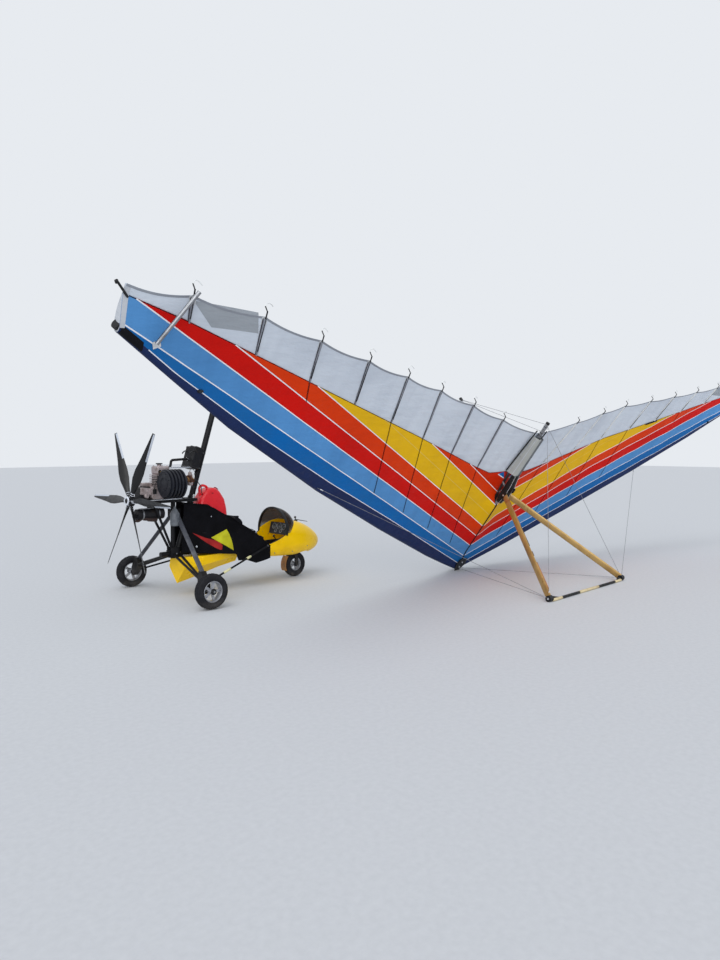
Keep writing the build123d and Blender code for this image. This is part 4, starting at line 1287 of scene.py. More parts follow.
    def ferrules(self, length):
        """Crimped ferrules at the stays' ends."""
        starts = []
        for name, side in SIDES:
            corner = wing(side * 0.796, BAR_AFT, FITTING_HIGH)
            for out, aft, high in ((0.012, 0.060, -0.074), (0.008, 2.145, -0.024), (3.057, 1.470, -0.045)):
                end = wing(side * out, aft, high)
                way = (end - corner).normalized()
                starts += [(corner + way * 0.045, way), (end - way * 0.030, -way)]
            top = wing(0, 1.731, 1.127)
            way = (wing(side * 3.057, 1.470, 0.150) - top).normalized()
            starts.append((top + way * 0.03, way))
        ends = [bar(start, start + way * length, 0.0050, sides=12, soft=0.0015) for start, way in starts]
        piece_of("stay_ferrules", ends, "bright")


class AIRCRAFT_OT_tyres(bpy.types.Operator):
    """Make the three tyres with their tread, and the wheels' caps and bolts"""

    bl_idname = "aircraft.tyres"
    bl_label = "Tyres and wheels"

    def execute(self, context):
        groove = context.scene.aircraft_sizes.tyre_groove
        # name, body, centre, radius, width, the rim's radius and the side of its valve
        wheels = (
            ("front", "front_wheel", trike(1.684, 0, 0.148), 0.148, 0.080, 0.075, 1),
            ("rear_left", "rear_wheel_left", trike(0.026, 0.7725, 0.170), 0.170, 0.096, 0.100, 1),
            ("rear_right", "rear_wheel_right", trike(0.026, -0.7725, 0.170), 0.170, 0.096, 0.100, -1),
        )
        for name, body, centre, outer, width, rim, side in wheels:
            self.tyre(name, body, centre, outer, width, rim, groove)
            self.trim(name, body, centre, width, rim, side)
        return {"FINISHED"}

    def tyre(self, name, body, centre, outer, width, rim, groove):
        """A tyre whose tread has round grooves and short cross cuts."""
        half, bead, shoulder = width / 2, width * 0.34, outer * 0.93
        wall = (rim + shoulder) / 2
        outside = [(rim, bead), (rim + 0.006, bead + 0.004), (wall, half), (shoulder, half * 0.86)]
        steps = 13
        for step in range(1, steps):
            share = 1 - 2 * step / steps
            crown = outer - (outer - shoulder) * abs(share) ** 2.2
            depth = groove if step in (3, 6, 7, 10) else 0.0
            outside.append((crown - depth, half * 0.84 * share))
        outside += [(shoulder, -half * 0.86), (wall, -half), (rim + 0.006, -bead - 0.004), (rim, -bead)]
        inside = [(rim + 0.004, -bead * 0.6), (rim + 0.004, bead * 0.6)]
        tyre = spun(outside + inside, centre, (0, 1, 0), 96)
        for vertex in tyre.data.vertices:
            radius = math.hypot(vertex.co.x, vertex.co.y)
            turn = round(math.atan2(vertex.co.y, vertex.co.x) / (2 * math.pi) * 96)
            if radius > outer * 0.94 and turn % 4 == 0:
                scale = 1 - groove * 0.7 / radius
                vertex.co.x *= scale
                vertex.co.y *= scale
        ribs = []
        for sign in (1, -1):
            seat = centre + Vector((0, sign * width * 0.46, 0))
            ribs.append(ring(seat, (0, 1, 0), (rim + outer) / 2 - 0.004, 0.0022, 64, 6))
        tread = piece_of(f"{name}_tyre_tread", [tyre, *ribs], "tyre", 30, body)
        node = "front_tyre" if name == "front" else f"rear_tyre_{name[5:]}"
        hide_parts(node)

    def trim(self, name, body, centre, width, rim, side):
        """Lips, hub cap, bolts and valve of a wheel."""
        hub = [(0.013, -0.003), (0.024, -0.003), (0.030, 0.002), (0.028, 0.010), (0.020, 0.014),
               (0.013, 0.014)]
        parts, dark = [], []
        for sign in (1, -1):
            lip = centre + Vector((0, sign * width * 0.34, 0))
            parts.append(ring(lip, (0, 1, 0), rim - 0.002, 0.0035, 56, 8))
            for number in range(5):
                turn = 2 * math.pi * (number + 0.5) / 5
                seat = centre + Vector((math.cos(turn) * 0.030, sign * width * 0.36, math.sin(turn) * 0.030))
                parts += bolt(seat, (0, sign, 0), 0.0045)
            dark.append(spun(hub, centre + Vector((0, sign * width * 0.38, 0)), (0, sign, 0), 32))
        stem = centre + Vector((rim * 0.80, side * width * 0.22, 0))
        dark.append(bar(stem, stem + Vector((-0.006, side * 0.026, 0)), 0.0035, 0.0025, 10, 0.0005))
        piece_of(f"{name}_wheel_trim", parts, "rim", body=body)
        piece_of(f"{name}_hub_cap", dark, "plastic", body=body)


class AIRCRAFT_OT_propeller(bpy.types.Operator):
    """Make the blades' edge tape, clamps and the hub's bolts"""

    bl_idname = "aircraft.propeller"
    bl_label = "Propeller trim"

    # radius, chord, thickness and pitch in degrees
    blade_sections = (
        (0.058, 0.034, 0.030, 46), (0.130, 0.056, 0.022, 42), (0.240, 0.096, 0.015, 37),
        (0.330, 0.100, 0.013, 34), (0.450, 0.076, 0.010, 31), (0.758, 0.030, 0.004, 28),
    )

    def blade_point(self, radius, across, lift):
        """A point of a standing blade: across from its leading edge, lift above its rear face."""
        chord, thick, pitch = (blend_line(self.blade_sections, radius, column) for column in (1, 2, 3))
        pitch = math.radians(pitch)
        lead = Vector((math.sin(pitch), -math.cos(pitch), 0))
        up = Vector((math.cos(pitch), math.sin(pitch), 0))
        front = chord * 0.42
        place = front - abs(across)
        height = (1 - place / front) * (1 + place / (0.58 * chord))
        face = 0.6 * thick * height + lift if across >= 0 else -0.4 * thick * height - lift
        if across == 0:
            place += 0.0012
        return lead * place + up * face + Vector((0, 0, radius))

    def execute(self, context):
        start = context.scene.aircraft_sizes.tape_start
        hub = Matrix.Translation(TRIKE_ORIGIN + HUB) @ Matrix.Rotation(THRUST_TILT, 4, "Y")
        offsets = (0.018, 0.010, 0.004, 0.0, -0.004, -0.010, -0.018)
        tapes, clamps, bolts = [], [], []
        for number in range(BLADES):
            turn = hub @ Matrix.Rotation(FIRST_BLADE + 2 * math.pi * number / BLADES, 4, "X")

            def tape(u, v):
                return turn @ self.blade_point(start + u * (TAPE_END - start), offsets[round(v * 6)], 0.0008)

            tapes.append(sheet(12, 6, tape, 0.0006))
            axis = turn.to_3x3() @ Vector((0, 0, 1))
            for radius in (0.066, 0.088):
                clamps.append(ring(turn @ Vector((0, 0, radius)), axis, 0.017, 0.0032, 24, 8))
            bolts += bolt(turn @ Vector((-0.022, 0.0, 0.044)), turn.to_3x3() @ Vector((-1, 0, 0)), 0.005)
        piece_of("blade_edge_tapes", tapes, "tape", 50, "propeller")
        piece_of("blade_clamps", clamps, "hub_bright", body="propeller")
        middle, thrust = hub @ Vector((0, 0, 0)), hub.to_3x3() @ Vector((1, 0, 0))
        bolts.append(ring(hub @ Vector((-0.0345, 0, 0)), thrust, 0.036, 0.0028, 40, 8))
        disc = [(0.027, -0.041), (0.042, -0.041), (0.046, -0.037), (0.046, -0.033), (0.027, -0.033)]
        bolts.append(spun(disc, middle, thrust, 40))
        piece_of("hub_bolts", bolts, "hub_bright", body="propeller")
        nose = [(0.0005, -0.050), (0.012, -0.048), (0.022, -0.040), (0.026, -0.034), (0.0005, -0.034)]
        piece_of("hub_cap", [spun(nose, middle, thrust, 32)], "plastic", body="propeller")
        return {"FINISHED"}


class AIRCRAFT_OT_panels(bpy.types.Operator):
    """Make the black cloth panels beside the seat, with their dart and triangle"""

    bl_idname = "aircraft.panels"
    bl_label = "Side panels"

    # forward and height along the panel's top and foot; then forward and how far out it stands
    top = ((0.168, 0.955), (0.400, 0.934), (0.572, 0.812), (0.616, 0.806), (0.790, 0.689), (0.945, 0.600),
           (1.132, 0.436))
    foot = ((0.138, 0.452), (0.704, 0.392), (0.728, 0.320), (0.832, 0.314), (0.948, 0.270), (1.056, 0.288),
            (1.132, 0.306))
    plan = ((0.110, 0.058), (0.580, 0.212), (1.140, 0.258))
    # outlines of the two marks, as forward and height, round from their rear corner
    marks = {
        "yellow": ((0.429, 0.586), (0.587, 0.665), (0.620, 0.612), (0.645, 0.552), (0.662, 0.492),
                   (0.671, 0.433)),
        "red": ((0.244, 0.647), (0.375, 0.586), (0.470, 0.556), (0.530, 0.520), (0.545, 0.492),
                (0.540, 0.452), (0.520, 0.452), (0.476, 0.474), (0.375, 0.541), (0.298, 0.603)),
    }

    def on(self, side, forward, high, off=0.0, up=0.0):
        """A point on the cloth, with its folds, or a little off it."""
        width = blend_line(self.plan, forward, 1) + 0.0005
        depth = noise.noise(Vector((forward * 3.2 - high * 1.5, high * 4.4, 5.0)))
        fine = noise.noise(Vector((forward * 12 + high * 6, high * 9 - forward * 5, 1.0)))
        return trike(forward, side * (width + 0.0035 * depth + 0.0015 * fine + off), high + up)

    def execute(self, context):
        for name, side in (("left", 1), ("right", -1)):

            def cloth(u, v):
                start = 0.138 + v * 0.030
                forward = start + u * (1.132 - start)
                low, high = blend_line(self.foot, forward, 1), blend_line(self.top, max(forward, 0.168), 1)
                return self.on(side, forward, low + v * (high - low))

            panel = sheet(84, 36, cloth, 0.0016)
            marks = [self.mark(name, side, key) for key in self.marks]
            rope = tube([self.on(side, forward, high, 0.002, 0.001) for forward, high in self.top], 0.005, 3)
            binding = piece_of(f"panel_binding_{name}", [rope], "black_cloth", 60)
            panel = piece_of(f"side_panel_{name}", [panel], "black_cloth", 60)
            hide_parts("side_panels")
            knob = bolt(self.on(side, 0.287, 0.502, 0.001), (0, side, 0), 0.010)
            knob += bolt(self.on(side, 0.434, 0.806, 0.001), (0, side, 0), 0.006)
            piece_of(f"panel_studs_{name}", knob, "bright")
        return {"FINISHED"}

    def mark(self, name, side, key):
        """A sewn mark, cut to its outline and laid on the panel."""
        outline = self.marks[key]
        deselect()
        bpy.ops.mesh.primitive_circle_add(vertices=len(outline), radius=1, fill_type="NGON")
        patch = bpy.context.object
        for vertex, (forward, high) in zip(patch.data.vertices, outline):
            vertex.co = (forward, 0, high)
        in_edit(
            lambda: bpy.ops.mesh.quads_convert_to_tris(),
            lambda: bpy.ops.mesh.subdivide(number_cuts=5),
            merged,
        )
        for vertex in patch.data.vertices:
            vertex.co = self.on(side, vertex.co.x, vertex.co.z, 0.0024)
        patch = modified("SOLIDIFY", thickness=0.0012, offset=0.0)
        return piece_of(f"panel_{key}_{name}", [patch], f"{key}_cloth", 60)


class AIRCRAFT_OT_seat(bpy.types.Operator):
    """Make the seat's two cushions and its belt"""

    bl_idname = "aircraft.seat"
    bl_label = "Seat"

    def cushion(self, name, centre, size, tilt, roll=None):
        """A crowned cushion whose sides pull in between its corners, with a roll along its top."""
        deselect()
        bpy.ops.mesh.primitive_cube_add(size=1, location=(0, 0, 0))
        piece = bpy.context.object
        in_edit(lambda: bpy.ops.mesh.subdivide(number_cuts=11))
        for vertex in piece.data.vertices:
            x, y, z = vertex.co * 2
            pull = 1 - 0.05 * (1 - min(1, abs(y)) ** 2) * abs(x) ** 6
            pull_side = 1 - 0.05 * (1 - min(1, abs(x)) ** 2) * abs(y) ** 6
            crown = 0.55 + 0.45 * (max(0.0, 1 - x * x) * max(0.0, 1 - y * y)) ** 0.35
            dent = 0.03 * noise.noise(Vector((x * 1.7, y * 1.7, z)))
            height = z * (crown + dent)
            vertex.co = (x * pull * size[0] / 2, y * pull_side * size[1] / 2, height * size[2] / 2)
        piece.location = centre
        piece.rotation_euler = (0, tilt, 0)
        if roll:
            oval_bar(*roll, 0.012).select_set(True)
            piece.select_set(True)
            bpy.context.view_layer.objects.active = piece
            bpy.ops.object.join()
        swelled(0.008)
        # sewn channels, pressed in after the simulation
        for vertex in piece.data.vertices:
            beside = abs(vertex.co.y) / (size[1] / 2)
            channel = 0.005 * math.exp(-((beside - 0.36) / 0.035) ** 2)
            if abs(vertex.co.z) > size[2] * 0.25:
                vertex.co.z -= math.copysign(channel, vertex.co.z)
        cushion = piece_of(name, [piece], "seat_cloth", 60)
        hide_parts("seat")

    def execute(self, context):
        self.cushion("seat_base_cushion", trike(0.985, 0, 0.522), (0.278, 0.328, 0.062), math.radians(4))
        ends = trikes((0.768, 0.160, 0.716), (0.768, -0.160, 0.716))
        roll = (*ends, 0.160, 0.112, Vector((0.91, 0, -0.41)))
        lean = math.radians(67)
        self.cushion("seat_back_cushion", trike(0.812, 0, 0.660), (0.280, 0.328, 0.066), lean, roll)
        shell = []
        for (x1, z1), (x2, z2) in (((0.80, 0.480), (1.12, 0.484)), ((0.80, 0.482), (0.722, 0.775))):
            length, tilt = math.hypot(x2 - x1, z2 - z1), -math.atan2(z2 - z1, x2 - x1)
            middle = trike((x1 + x2) / 2, 0, (z1 + z2) / 2)
            shell.append(block(middle, (length, 0.346, 0.008), (0, tilt, 0), 0.003))
        piece_of("seat_shell", shell, "plastic")
        lap = [Vector(point) for point in (
            (0.84, 0.165, 0.520), (0.90, 0.150, 0.566), (0.96, 0.090, 0.574), (1.00, 0.020, 0.572))]
        belt = []
        for side in (1, -1):

            def strap(u, v):
                step = u * (len(lap) - 1)
                index = min(int(step), len(lap) - 2)
                point = lap[index].lerp(lap[index + 1], ease(step - index))
                return trike(point.x + (v - 0.5) * 0.044, side * point.y, point.z + 0.002)

            belt.append(sheet(24, 2, strap, 0.0022))
        # the belt's free end, which lies over the seat's right edge with its metal parts
        end = ((0, 0.86, 0.560), (0.25, 0.886, 0.634), (0.5, 0.94, 0.622), (0.75, 0.992, 0.594),
               (1, 1.03, 0.548))

        def free_end(u, v):
            out = 0.176 + 0.010 * math.sin(math.pi * u)
            return trike(blend_line(end, u, 1), -out, blend_line(end, u, 2) + (v - 0.5) * 0.026)

        belt.append(sheet(32, 2, free_end, 0.0022))
        piece_of("seat_belt", belt, "black_cloth", 60)
        buckle = [block(trike(*centre), size, (0, turn, 0), soft) for centre, size, turn, soft in (
            ((1.0, 0, 0.578), (0.05, 0.04, 0.012), 0, 0.003),
            ((0.889, -0.187, 0.638), (0.030, 0.006, 0.026), 0.2, 0.002),
            ((0.938, -0.188, 0.624), (0.044, 0.005, 0.010), 0.35, 0.002),
            ((0.932, -0.189, 0.596), (0.016, 0.005, 0.014), 0.1, 0.002),
            ((0.991, -0.186, 0.592), (0.022, 0.006, 0.024), 0.5, 0.002),
        )]
        piece_of("belt_buckle", buckle, "bright")
        return {"FINISHED"}


class AIRCRAFT_OT_tank(bpy.types.Operator):
    """Make the fuel can behind the seat, with its handle and cap"""

    bl_idname = "aircraft.tank"
    bl_label = "Fuel tank"

    # forward and height round the can's side, and along its grip
    side = ((0.352, 0.645), (0.696, 0.645), (0.698, 0.800), (0.690, 0.880), (0.664, 0.975), (0.604, 1.060),
            (0.562, 1.090), (0.518, 1.099), (0.468, 1.086), (0.420, 1.046), (0.378, 0.990), (0.354, 0.900))
    grip = ((0.402, 1.010), (0.400, 1.062), (0.400, 1.104), (0.430, 1.124), (0.472, 1.116), (0.498, 1.094),
            (0.502, 1.060))
    half = 0.086

    def execute(self, context):
        deselect()
        bpy.ops.mesh.primitive_circle_add(vertices=len(self.side), radius=1, fill_type="NGON")
        body = context.object
        for vertex, (forward, high) in zip(body.data.vertices, self.side):
            vertex.co = (forward, -self.half, high)
        across = {"value": (0, 2 * self.half, 0)}
        in_edit(lambda: bpy.ops.mesh.extrude_region_move(TRANSFORM_OT_translate=across))
        in_edit(merged)
        body.location = TRIKE_ORIGIN
        softened(0.034, 5)
        handle = tube([trike(forward, 0, high) for forward, high in self.grip], 0.013, 5)
        tank = piece_of("fuel_can", [body, handle], "tank", 40)
        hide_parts("fuel_tank")
        cap = [(0.0005, 0.030), (0.0005, 0.062), (0.020, 0.062), (0.026, 0.058), (0.027, 0.036),
               (0.024, 0.030)]
        cap = spun(cap, trike(0.570, 0, 1.038), Vector((0.64, 0, 0.77)), 36)
        # every second column of the cap's side is a groove
        for vertex in cap.data.vertices:
            turn = round(math.atan2(vertex.co.y, vertex.co.x) / (2 * math.pi) * 36)
            if turn % 2 and math.hypot(vertex.co.x, vertex.co.y) > 0.0255:
                vertex.co.x *= 0.95
                vertex.co.y *= 0.95
        dimple = [(0.0005, 0.0), (0.014, 0.0), (0.014, 0.003), (0.0005, 0.004)]
        dimple = spun(dimple, trike(0.506, -0.0805, 1.046), (0, -0.80, 0.60), 28)
        piece_of("tank_cap", [cap, dimple], "cap_red")
        return {"FINISHED"}


class AIRCRAFT_OT_engine(bpy.types.Operator):
    """Make the engine's bolts, plug, pipes, clips and small parts"""

    bl_idname = "aircraft.engine"
    bl_label = "Engine details"

    def execute(self, context):
        self.crankcase()
        self.exhaust()
        self.plug_and_drum()
        self.carburettor()
        self.radiator()
        self.mounts()
        self.cables()
        return {"FINISHED"}

    def crankcase(self):
        """Bolts, covers and brackets of the crankcase and the cylinder."""
        silver = []
        for x in (CYLINDER - 0.036, CYLINDER + 0.060):
            for y in (-0.048, 0.048):
                silver += bolt(trike(x, y, ENGINE_BASE + 0.324), (0, 0, 1), 0.007)
        for x in (-0.165, -0.092, -0.020):
            for sign in (-1, 1):
                for up in (0.030, 0.098):
                    silver += bolt(trike(x, sign * 0.085, ENGINE_BASE + up), (0, sign, 0), 0.006)
        leaning = (0, 0.12, 0)
        centre = trike(-0.246, -0.064, ENGINE_BASE + 0.082)
        silver.append(block(centre, (0.118, 0.014, 0.070), leaning, 0.006, 3))
        for x in (-0.288, -0.262, -0.236, -0.210):
            silver.append(block(trike(x, -0.072, ENGINE_BASE + 0.080), (0.006, 0.008, 0.060), leaning, 0.002))
        centre = trike(-0.190, 0.040, ENGINE_BASE + 0.142)
        silver.append(block(centre, (0.110, 0.070, 0.040), soft=0.010, segments=3))
        ends = trikes((-0.245, -0.060, ENGINE_BASE + 0.040), (-0.245, -0.088, ENGINE_BASE + 0.040))
        silver.append(bar(*ends, 0.026, soft=0.006))
        piece_of("engine_bolts", silver, "cast")
        # a dark block inside the cylinder's fins is painted shade in the gaps between them
        core = block(trike(CYLINDER, 0, ENGINE_BASE + 0.184), (0.1085, 0.1085, 0.112), soft=0.002)
        piece_of("cylinder_painted_gap_shade", [core], "engine_dark")
        edge = [block(trike(-0.080, -0.1012, 1.004), (0.426, 0.0024, 0.009), soft=0.0008)]
        edge.append(block(trike(0.153, -0.074, 1.3175), (0.276, 0.005, 0.013), (0, 0, -0.10), 0.002))
        for x, y in ((0.020, -0.062), (0.284, -0.088)):
            edge += bolt(trike(x, y, 1.3175), (0, -1, 0), 0.006)
        piece_of("engine_brackets", edge, "bright")

    def exhaust(self):
        """The elbow on the engine's far side, and the silencer's outlet and straps."""
        elbow = trikes((-0.062, 0.070, ENGINE_BASE + 0.150), (-0.066, 0.116, ENGINE_BASE + 0.140),
                       (-0.084, 0.128, 0.985), (-0.110, 0.094, 0.925), (-0.120, 0.040, 0.890))
        outlet = trikes((-0.262, -0.020, 0.830), (-0.290, -0.024, 0.810), (-0.316, -0.026, 0.800),
                        (-0.338, -0.026, 0.806))
        pipes = [tube(elbow, 0.019, 5)]
        ends = trikes((-0.255, -0.026, 0.820), (-0.115, -0.036, 0.806))
        pipes.append(bar(*ends, 0.016, 0.020, soft=0.003))
        pipes.append(tube(outlet, 0.012, 4))
        pipes.append(block(trike(-0.175, -0.044, 0.802), (0.090, 0.024, 0.026), (0, 0.12, 0), 0.006))
        piece_of("exhaust_pipes", pipes, "exhaust")
        straps = []
        for x in (-0.262, -0.090):
            straps += clip(trike(x, 0, 0.862), (1, 0, 0), 0.0555, 0.014)
        straps.append(block(trike(-0.226, -0.030, 0.921), (0.150, 0.030, 0.008)))
        piece_of("silencer_straps", straps, "metal")

    def plug_and_drum(self):
        """The plug in the head's side, the head's cap and the drum's rings and bolts."""
        recess = [(0.0005, 0.0), (0.017, 0.0), (0.019, 0.002), (0.019, 0.005), (0.013, 0.007),
                  (0.0005, 0.007)]
        lid = [(0.0005, 0.0), (0.030, 0.0), (0.033, 0.003), (0.033, 0.009), (0.028, 0.012),
               (0.0005, 0.013)]
        boot = [spun(recess, trike(-0.094, -0.067, 1.280), (0, -1, 0), 28)]
        boot.append(spun(lid, trike(CYLINDER, 0, ENGINE_BASE + 0.343), (0, 0, 1), 32))
        boot.append(block(trike(-0.168, -0.096, ENGINE_BASE + 0.078), (0.034, 0.022, 0.050), soft=0.005))
        piece_of("plug_boot", boot, "plastic")
        plug = bar(trike(-0.094, -0.072, 1.280), trike(-0.094, -0.088, 1.280), 0.0075, sides=12, soft=0.001)
        piece_of("spark_plug", [plug], "brass")
        beside, high = -0.236, ENGINE_BASE + 0.155
        rings = ((-0.146, 0.121, 0.006, 56), (0.036, 0.118, 0.007, 56), (-0.149, 0.062, 0.003, 48))
        hoops = [ring(trike(x, beside, high), (1, 0, 0), radius, thick, sides, 8)
                 for x, radius, thick, sides in rings]
        for number in range(8):
            turn = 2 * math.pi * (number + 0.5) / 8
            spot = (beside + math.cos(turn) * 0.104, high + math.sin(turn) * 0.104)
            hoops += bolt(trike(0.038, *spot), (1, 0, 0), 0.005)
            hoops += bolt(trike(-0.148, *spot), (-1, 0, 0), 0.005)
        piece_of("drum_hoops", hoops, "drum")

    def carburettor(self):
        """The float bowl, top, clips and white fittings, and the flask below."""
        foot, seam, neck, top = (ENGINE_BASE + up for up in (0.126, 0.162, 0.226, 0.262))
        bowl = [bar(trike(0.206, -0.138, foot), trike(0.206, -0.138, seam), 0.024, 0.030, 24, 0.004)]
        bowl.append(bar(trike(0.206, -0.138, neck), trike(0.203, -0.138, top), 0.022, 0.017, 24, 0.004))
        bowl += bolt(trike(0.206, -0.138, foot + 0.002), (0, 0, -1), 0.006)
        piece_of("carburettor_bowl", bowl, "cast")
        clips = clip(trike(0.160, -0.150, ENGINE_BASE + 0.184), (0.96, 0.28, 0.13), 0.0295)
        ends = trikes((0.212, -0.176, ENGINE_BASE + 0.190), (0.212, -0.192, ENGINE_BASE + 0.190))
        clips.append(bar(*ends, 0.007, sides=12, soft=0.001))
        piece_of("carburettor_clips", clips, "brass")
        white = [block(trike(0.222, -0.172, ENGINE_BASE + 0.216), (0.022, 0.018, 0.040), (0, 0.1, 0), 0.005)]
        white.append(block(trike(0.306, -0.036, 0.997), (0.024, 0.012, 0.078), (0, 0.3, 0), 0.004))
        piece_of("white_fittings", white, "white_plastic")
        flask = [(0.0005, -0.074), (0.036, -0.074), (0.045, -0.066), (0.047, -0.050), (0.047, 0.048),
                 (0.040, 0.062), (0.020, 0.096), (0.012, 0.104), (0.012, 0.120), (0.0005, 0.122)]
        flask = spun(flask, trike(0.054, -0.090, 0.806), (0, 0, 1), 36)
        piece_of("overflow_flask", [flask], "bottle")

    def radiator(self):
        """The radiator's fins, end tanks, cap and brackets."""
        turn = math.radians(18)
        place = Matrix.Translation(trike(0.322, 0, 1.412)) @ Matrix.Rotation(turn, 4, "Y")

        def placed(*points):
            return [place @ Vector(point) for point in points]

        fins = [block(place @ Vector((-0.046, 0, -0.092 + number * 0.0092)), (0.004, 0.176, 0.0026),
                      (0, turn, 0), 0.0006, 1) for number in range(21)]
        piece_of("radiator_fins", fins, "engine_dark")
        tanks = [block(place @ Vector((0, 0, sign * 0.104)), (0.098, 0.198, 0.020), (0, turn, 0), 0.007, 3)
                 for sign in (1, -1)]
        tanks.append(bar(*placed((0, 0.06, 0.110), (0, 0.06, 0.130)), 0.020, soft=0.004))
        for y in (-0.080, 0.080):
            arm = placed((-0.050, y, 0.060), (-0.075, y, 0.050), (-0.085, y * 0.9, 0.020))
            tanks.append(tube(arm, 0.006, 3))
        for z in (-0.090, 0.075):
            arm = placed((0.046, -0.070, z), (0.075, -0.060, z), (0.095, -0.034, z + 0.004))
            tanks.append(tube(arm, 0.007, 3))
        piece_of("radiator_tanks", tanks, "plastic")

    def mounts(self):
        """Rubber mounts and bolts under the engine, and the coolant hose's clips."""
        mounts = []
        for x in (-0.160, -0.010):
            for y in (-0.080, 0.080):
                mounts.append(bar(trike(x, y, 0.998), trike(x, y, 1.014), 0.017, 0.014, 20, 0.003))
        for x in (-0.280, 0.085):
            for y in (-0.098, 0.098):
                mounts += bolt(trike(x, y * 0.98, 0.985), (0, y, 0), 0.007)
        piece_of("engine_mounts", mounts, "plastic")
        joints = clip(trike(0.030, 0, 1.319), (1, 0, 0), 0.0135)
        joints += clip(trike(0.262, 0, 1.399), (1, 0, 0.2), 0.0135)
        piece_of("hose_clips", joints, "bright")

    def cables(self):
        """The plug lead, throttle cable and fuel line."""
        cords = (
            ("plug_lead", 0.007,
             ((-0.094, -0.088, 1.280), (-0.094, -0.104, 1.276), (-0.118, -0.112, 1.240),
              (-0.150, -0.104, 1.190), (-0.168, -0.098, 1.150), (-0.168, -0.096, 1.112))),
            ("throttle_cable", 0.006,
             ((0.203, -0.138, 1.272), (0.203, -0.138, 1.300), (0.240, -0.130, 1.310), (0.300, -0.090, 1.260),
              (0.340, -0.050, 1.190), (0.330, -0.040, 1.070), (0.302, -0.040, 0.960),
              (0.280, -0.036, 0.900))),
            ("fuel_line", 0.008,
             ((0.408, -0.050, 1.020), (0.388, -0.058, 1.052), (0.360, -0.110, 1.104), (0.290, -0.170, 1.150),
              (0.236, -0.206, 1.190), (0.212, -0.192, 1.200))),
        )
        for name, diameter, points in cords:
            line = pipe(trikes(*points), diameter / 2, 3)
            line.name = line.data.name = name
            line.data.materials.append(FINISHES["rubber"])
            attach(line, "root")
            spline_length(line)


def spline_length(line):
    """The real length of a curve object's line."""
    bevel = line.data.bevel_depth
    line.data.bevel_depth = 0.0
    mesh = bpy.data.meshes.new_from_object(line)
    line.data.bevel_depth = bevel
    places = [vertex.co for vertex in mesh.vertices]
    ends = [edge.vertices for edge in mesh.edges]
    total = sum((places[first] - places[second]).length for first, second in ends)
    bpy.data.meshes.remove(mesh)
    return total


class AIRCRAFT_OT_frame_details(bpy.types.Operator):
    """Make the trike frame's bolts, clips and brackets"""

    bl_idname = "aircraft.frame_details"
    bl_label = "Frame details"

    # forward, out, height, the way it points (forward and out) and size of the bolts of one side
    bolts = (
        (0.100, 0.035, 0.440, (0, 1), 0.010), (0.140, 0.035, 0.455, (0, 1), 0.008),
        (0.098, 0.037, 0.850, (0, 1), 0.011), (0.744, 0.042, 2.330, (0, 1), 0.008),
        (0.026, 0.600, 0.320, (-1, 0), 0.010), (0.016, 0.595, 0.252, (-1, 0), 0.008),
        (1.080, 0.280, 0.448, (0, 1), 0.009), (0.026, 0.826, 0.170, (0, 1), 0.009),
    )

    def execute(self, context):
        bolts, clips, plates, bindings = [], [], [], []
        for side in (1, -1):
            for forward, out, high, (ahead, beside), size in self.bolts:
                bolts += bolt(trike(forward, side * out, high), (ahead, side * beside, 0), size)
        piece_of("frame_bolts", bolts, "metal")
        for share in (0.15, 0.34, 0.52, 0.74, 0.9):
            point = Vector((0.126, 0, 0.440)).lerp(Vector((0.736, 0, 2.400)), share)
            clips += clip(trike(*point), (0.61, 0, 1.96), 0.0306, 0.012)
        piece_of("mast_clips", clips, "plastic")
        for side in (1, -1):
            plates.append(block(trike(0.100, side * 0.039, 0.452), (0.130, 0.006, 0.110), soft=0.002))
            plates.append(block(trike(0.100, side * 0.0395, 0.858), (0.100, 0.005, 0.078), soft=0.002))
        piece_of("frame_plates", plates, "black_frame")
        for side, low, high in ((-1, 0.275, 0.375), (-1, 0.635, 0.695), (1, 0.62, 0.68)):
            start, end = Vector((0.046, side * 0.6205, 0.208)), Vector((1.094, side * 0.270, 0.448))
            ends = trikes(start.lerp(end, low), start.lerp(end, high))
            bindings.append(bar(*ends, 0.0125, soft=0.001))
        piece_of("strut_markers", bindings, "pale_tape")
        return {"FINISHED"}


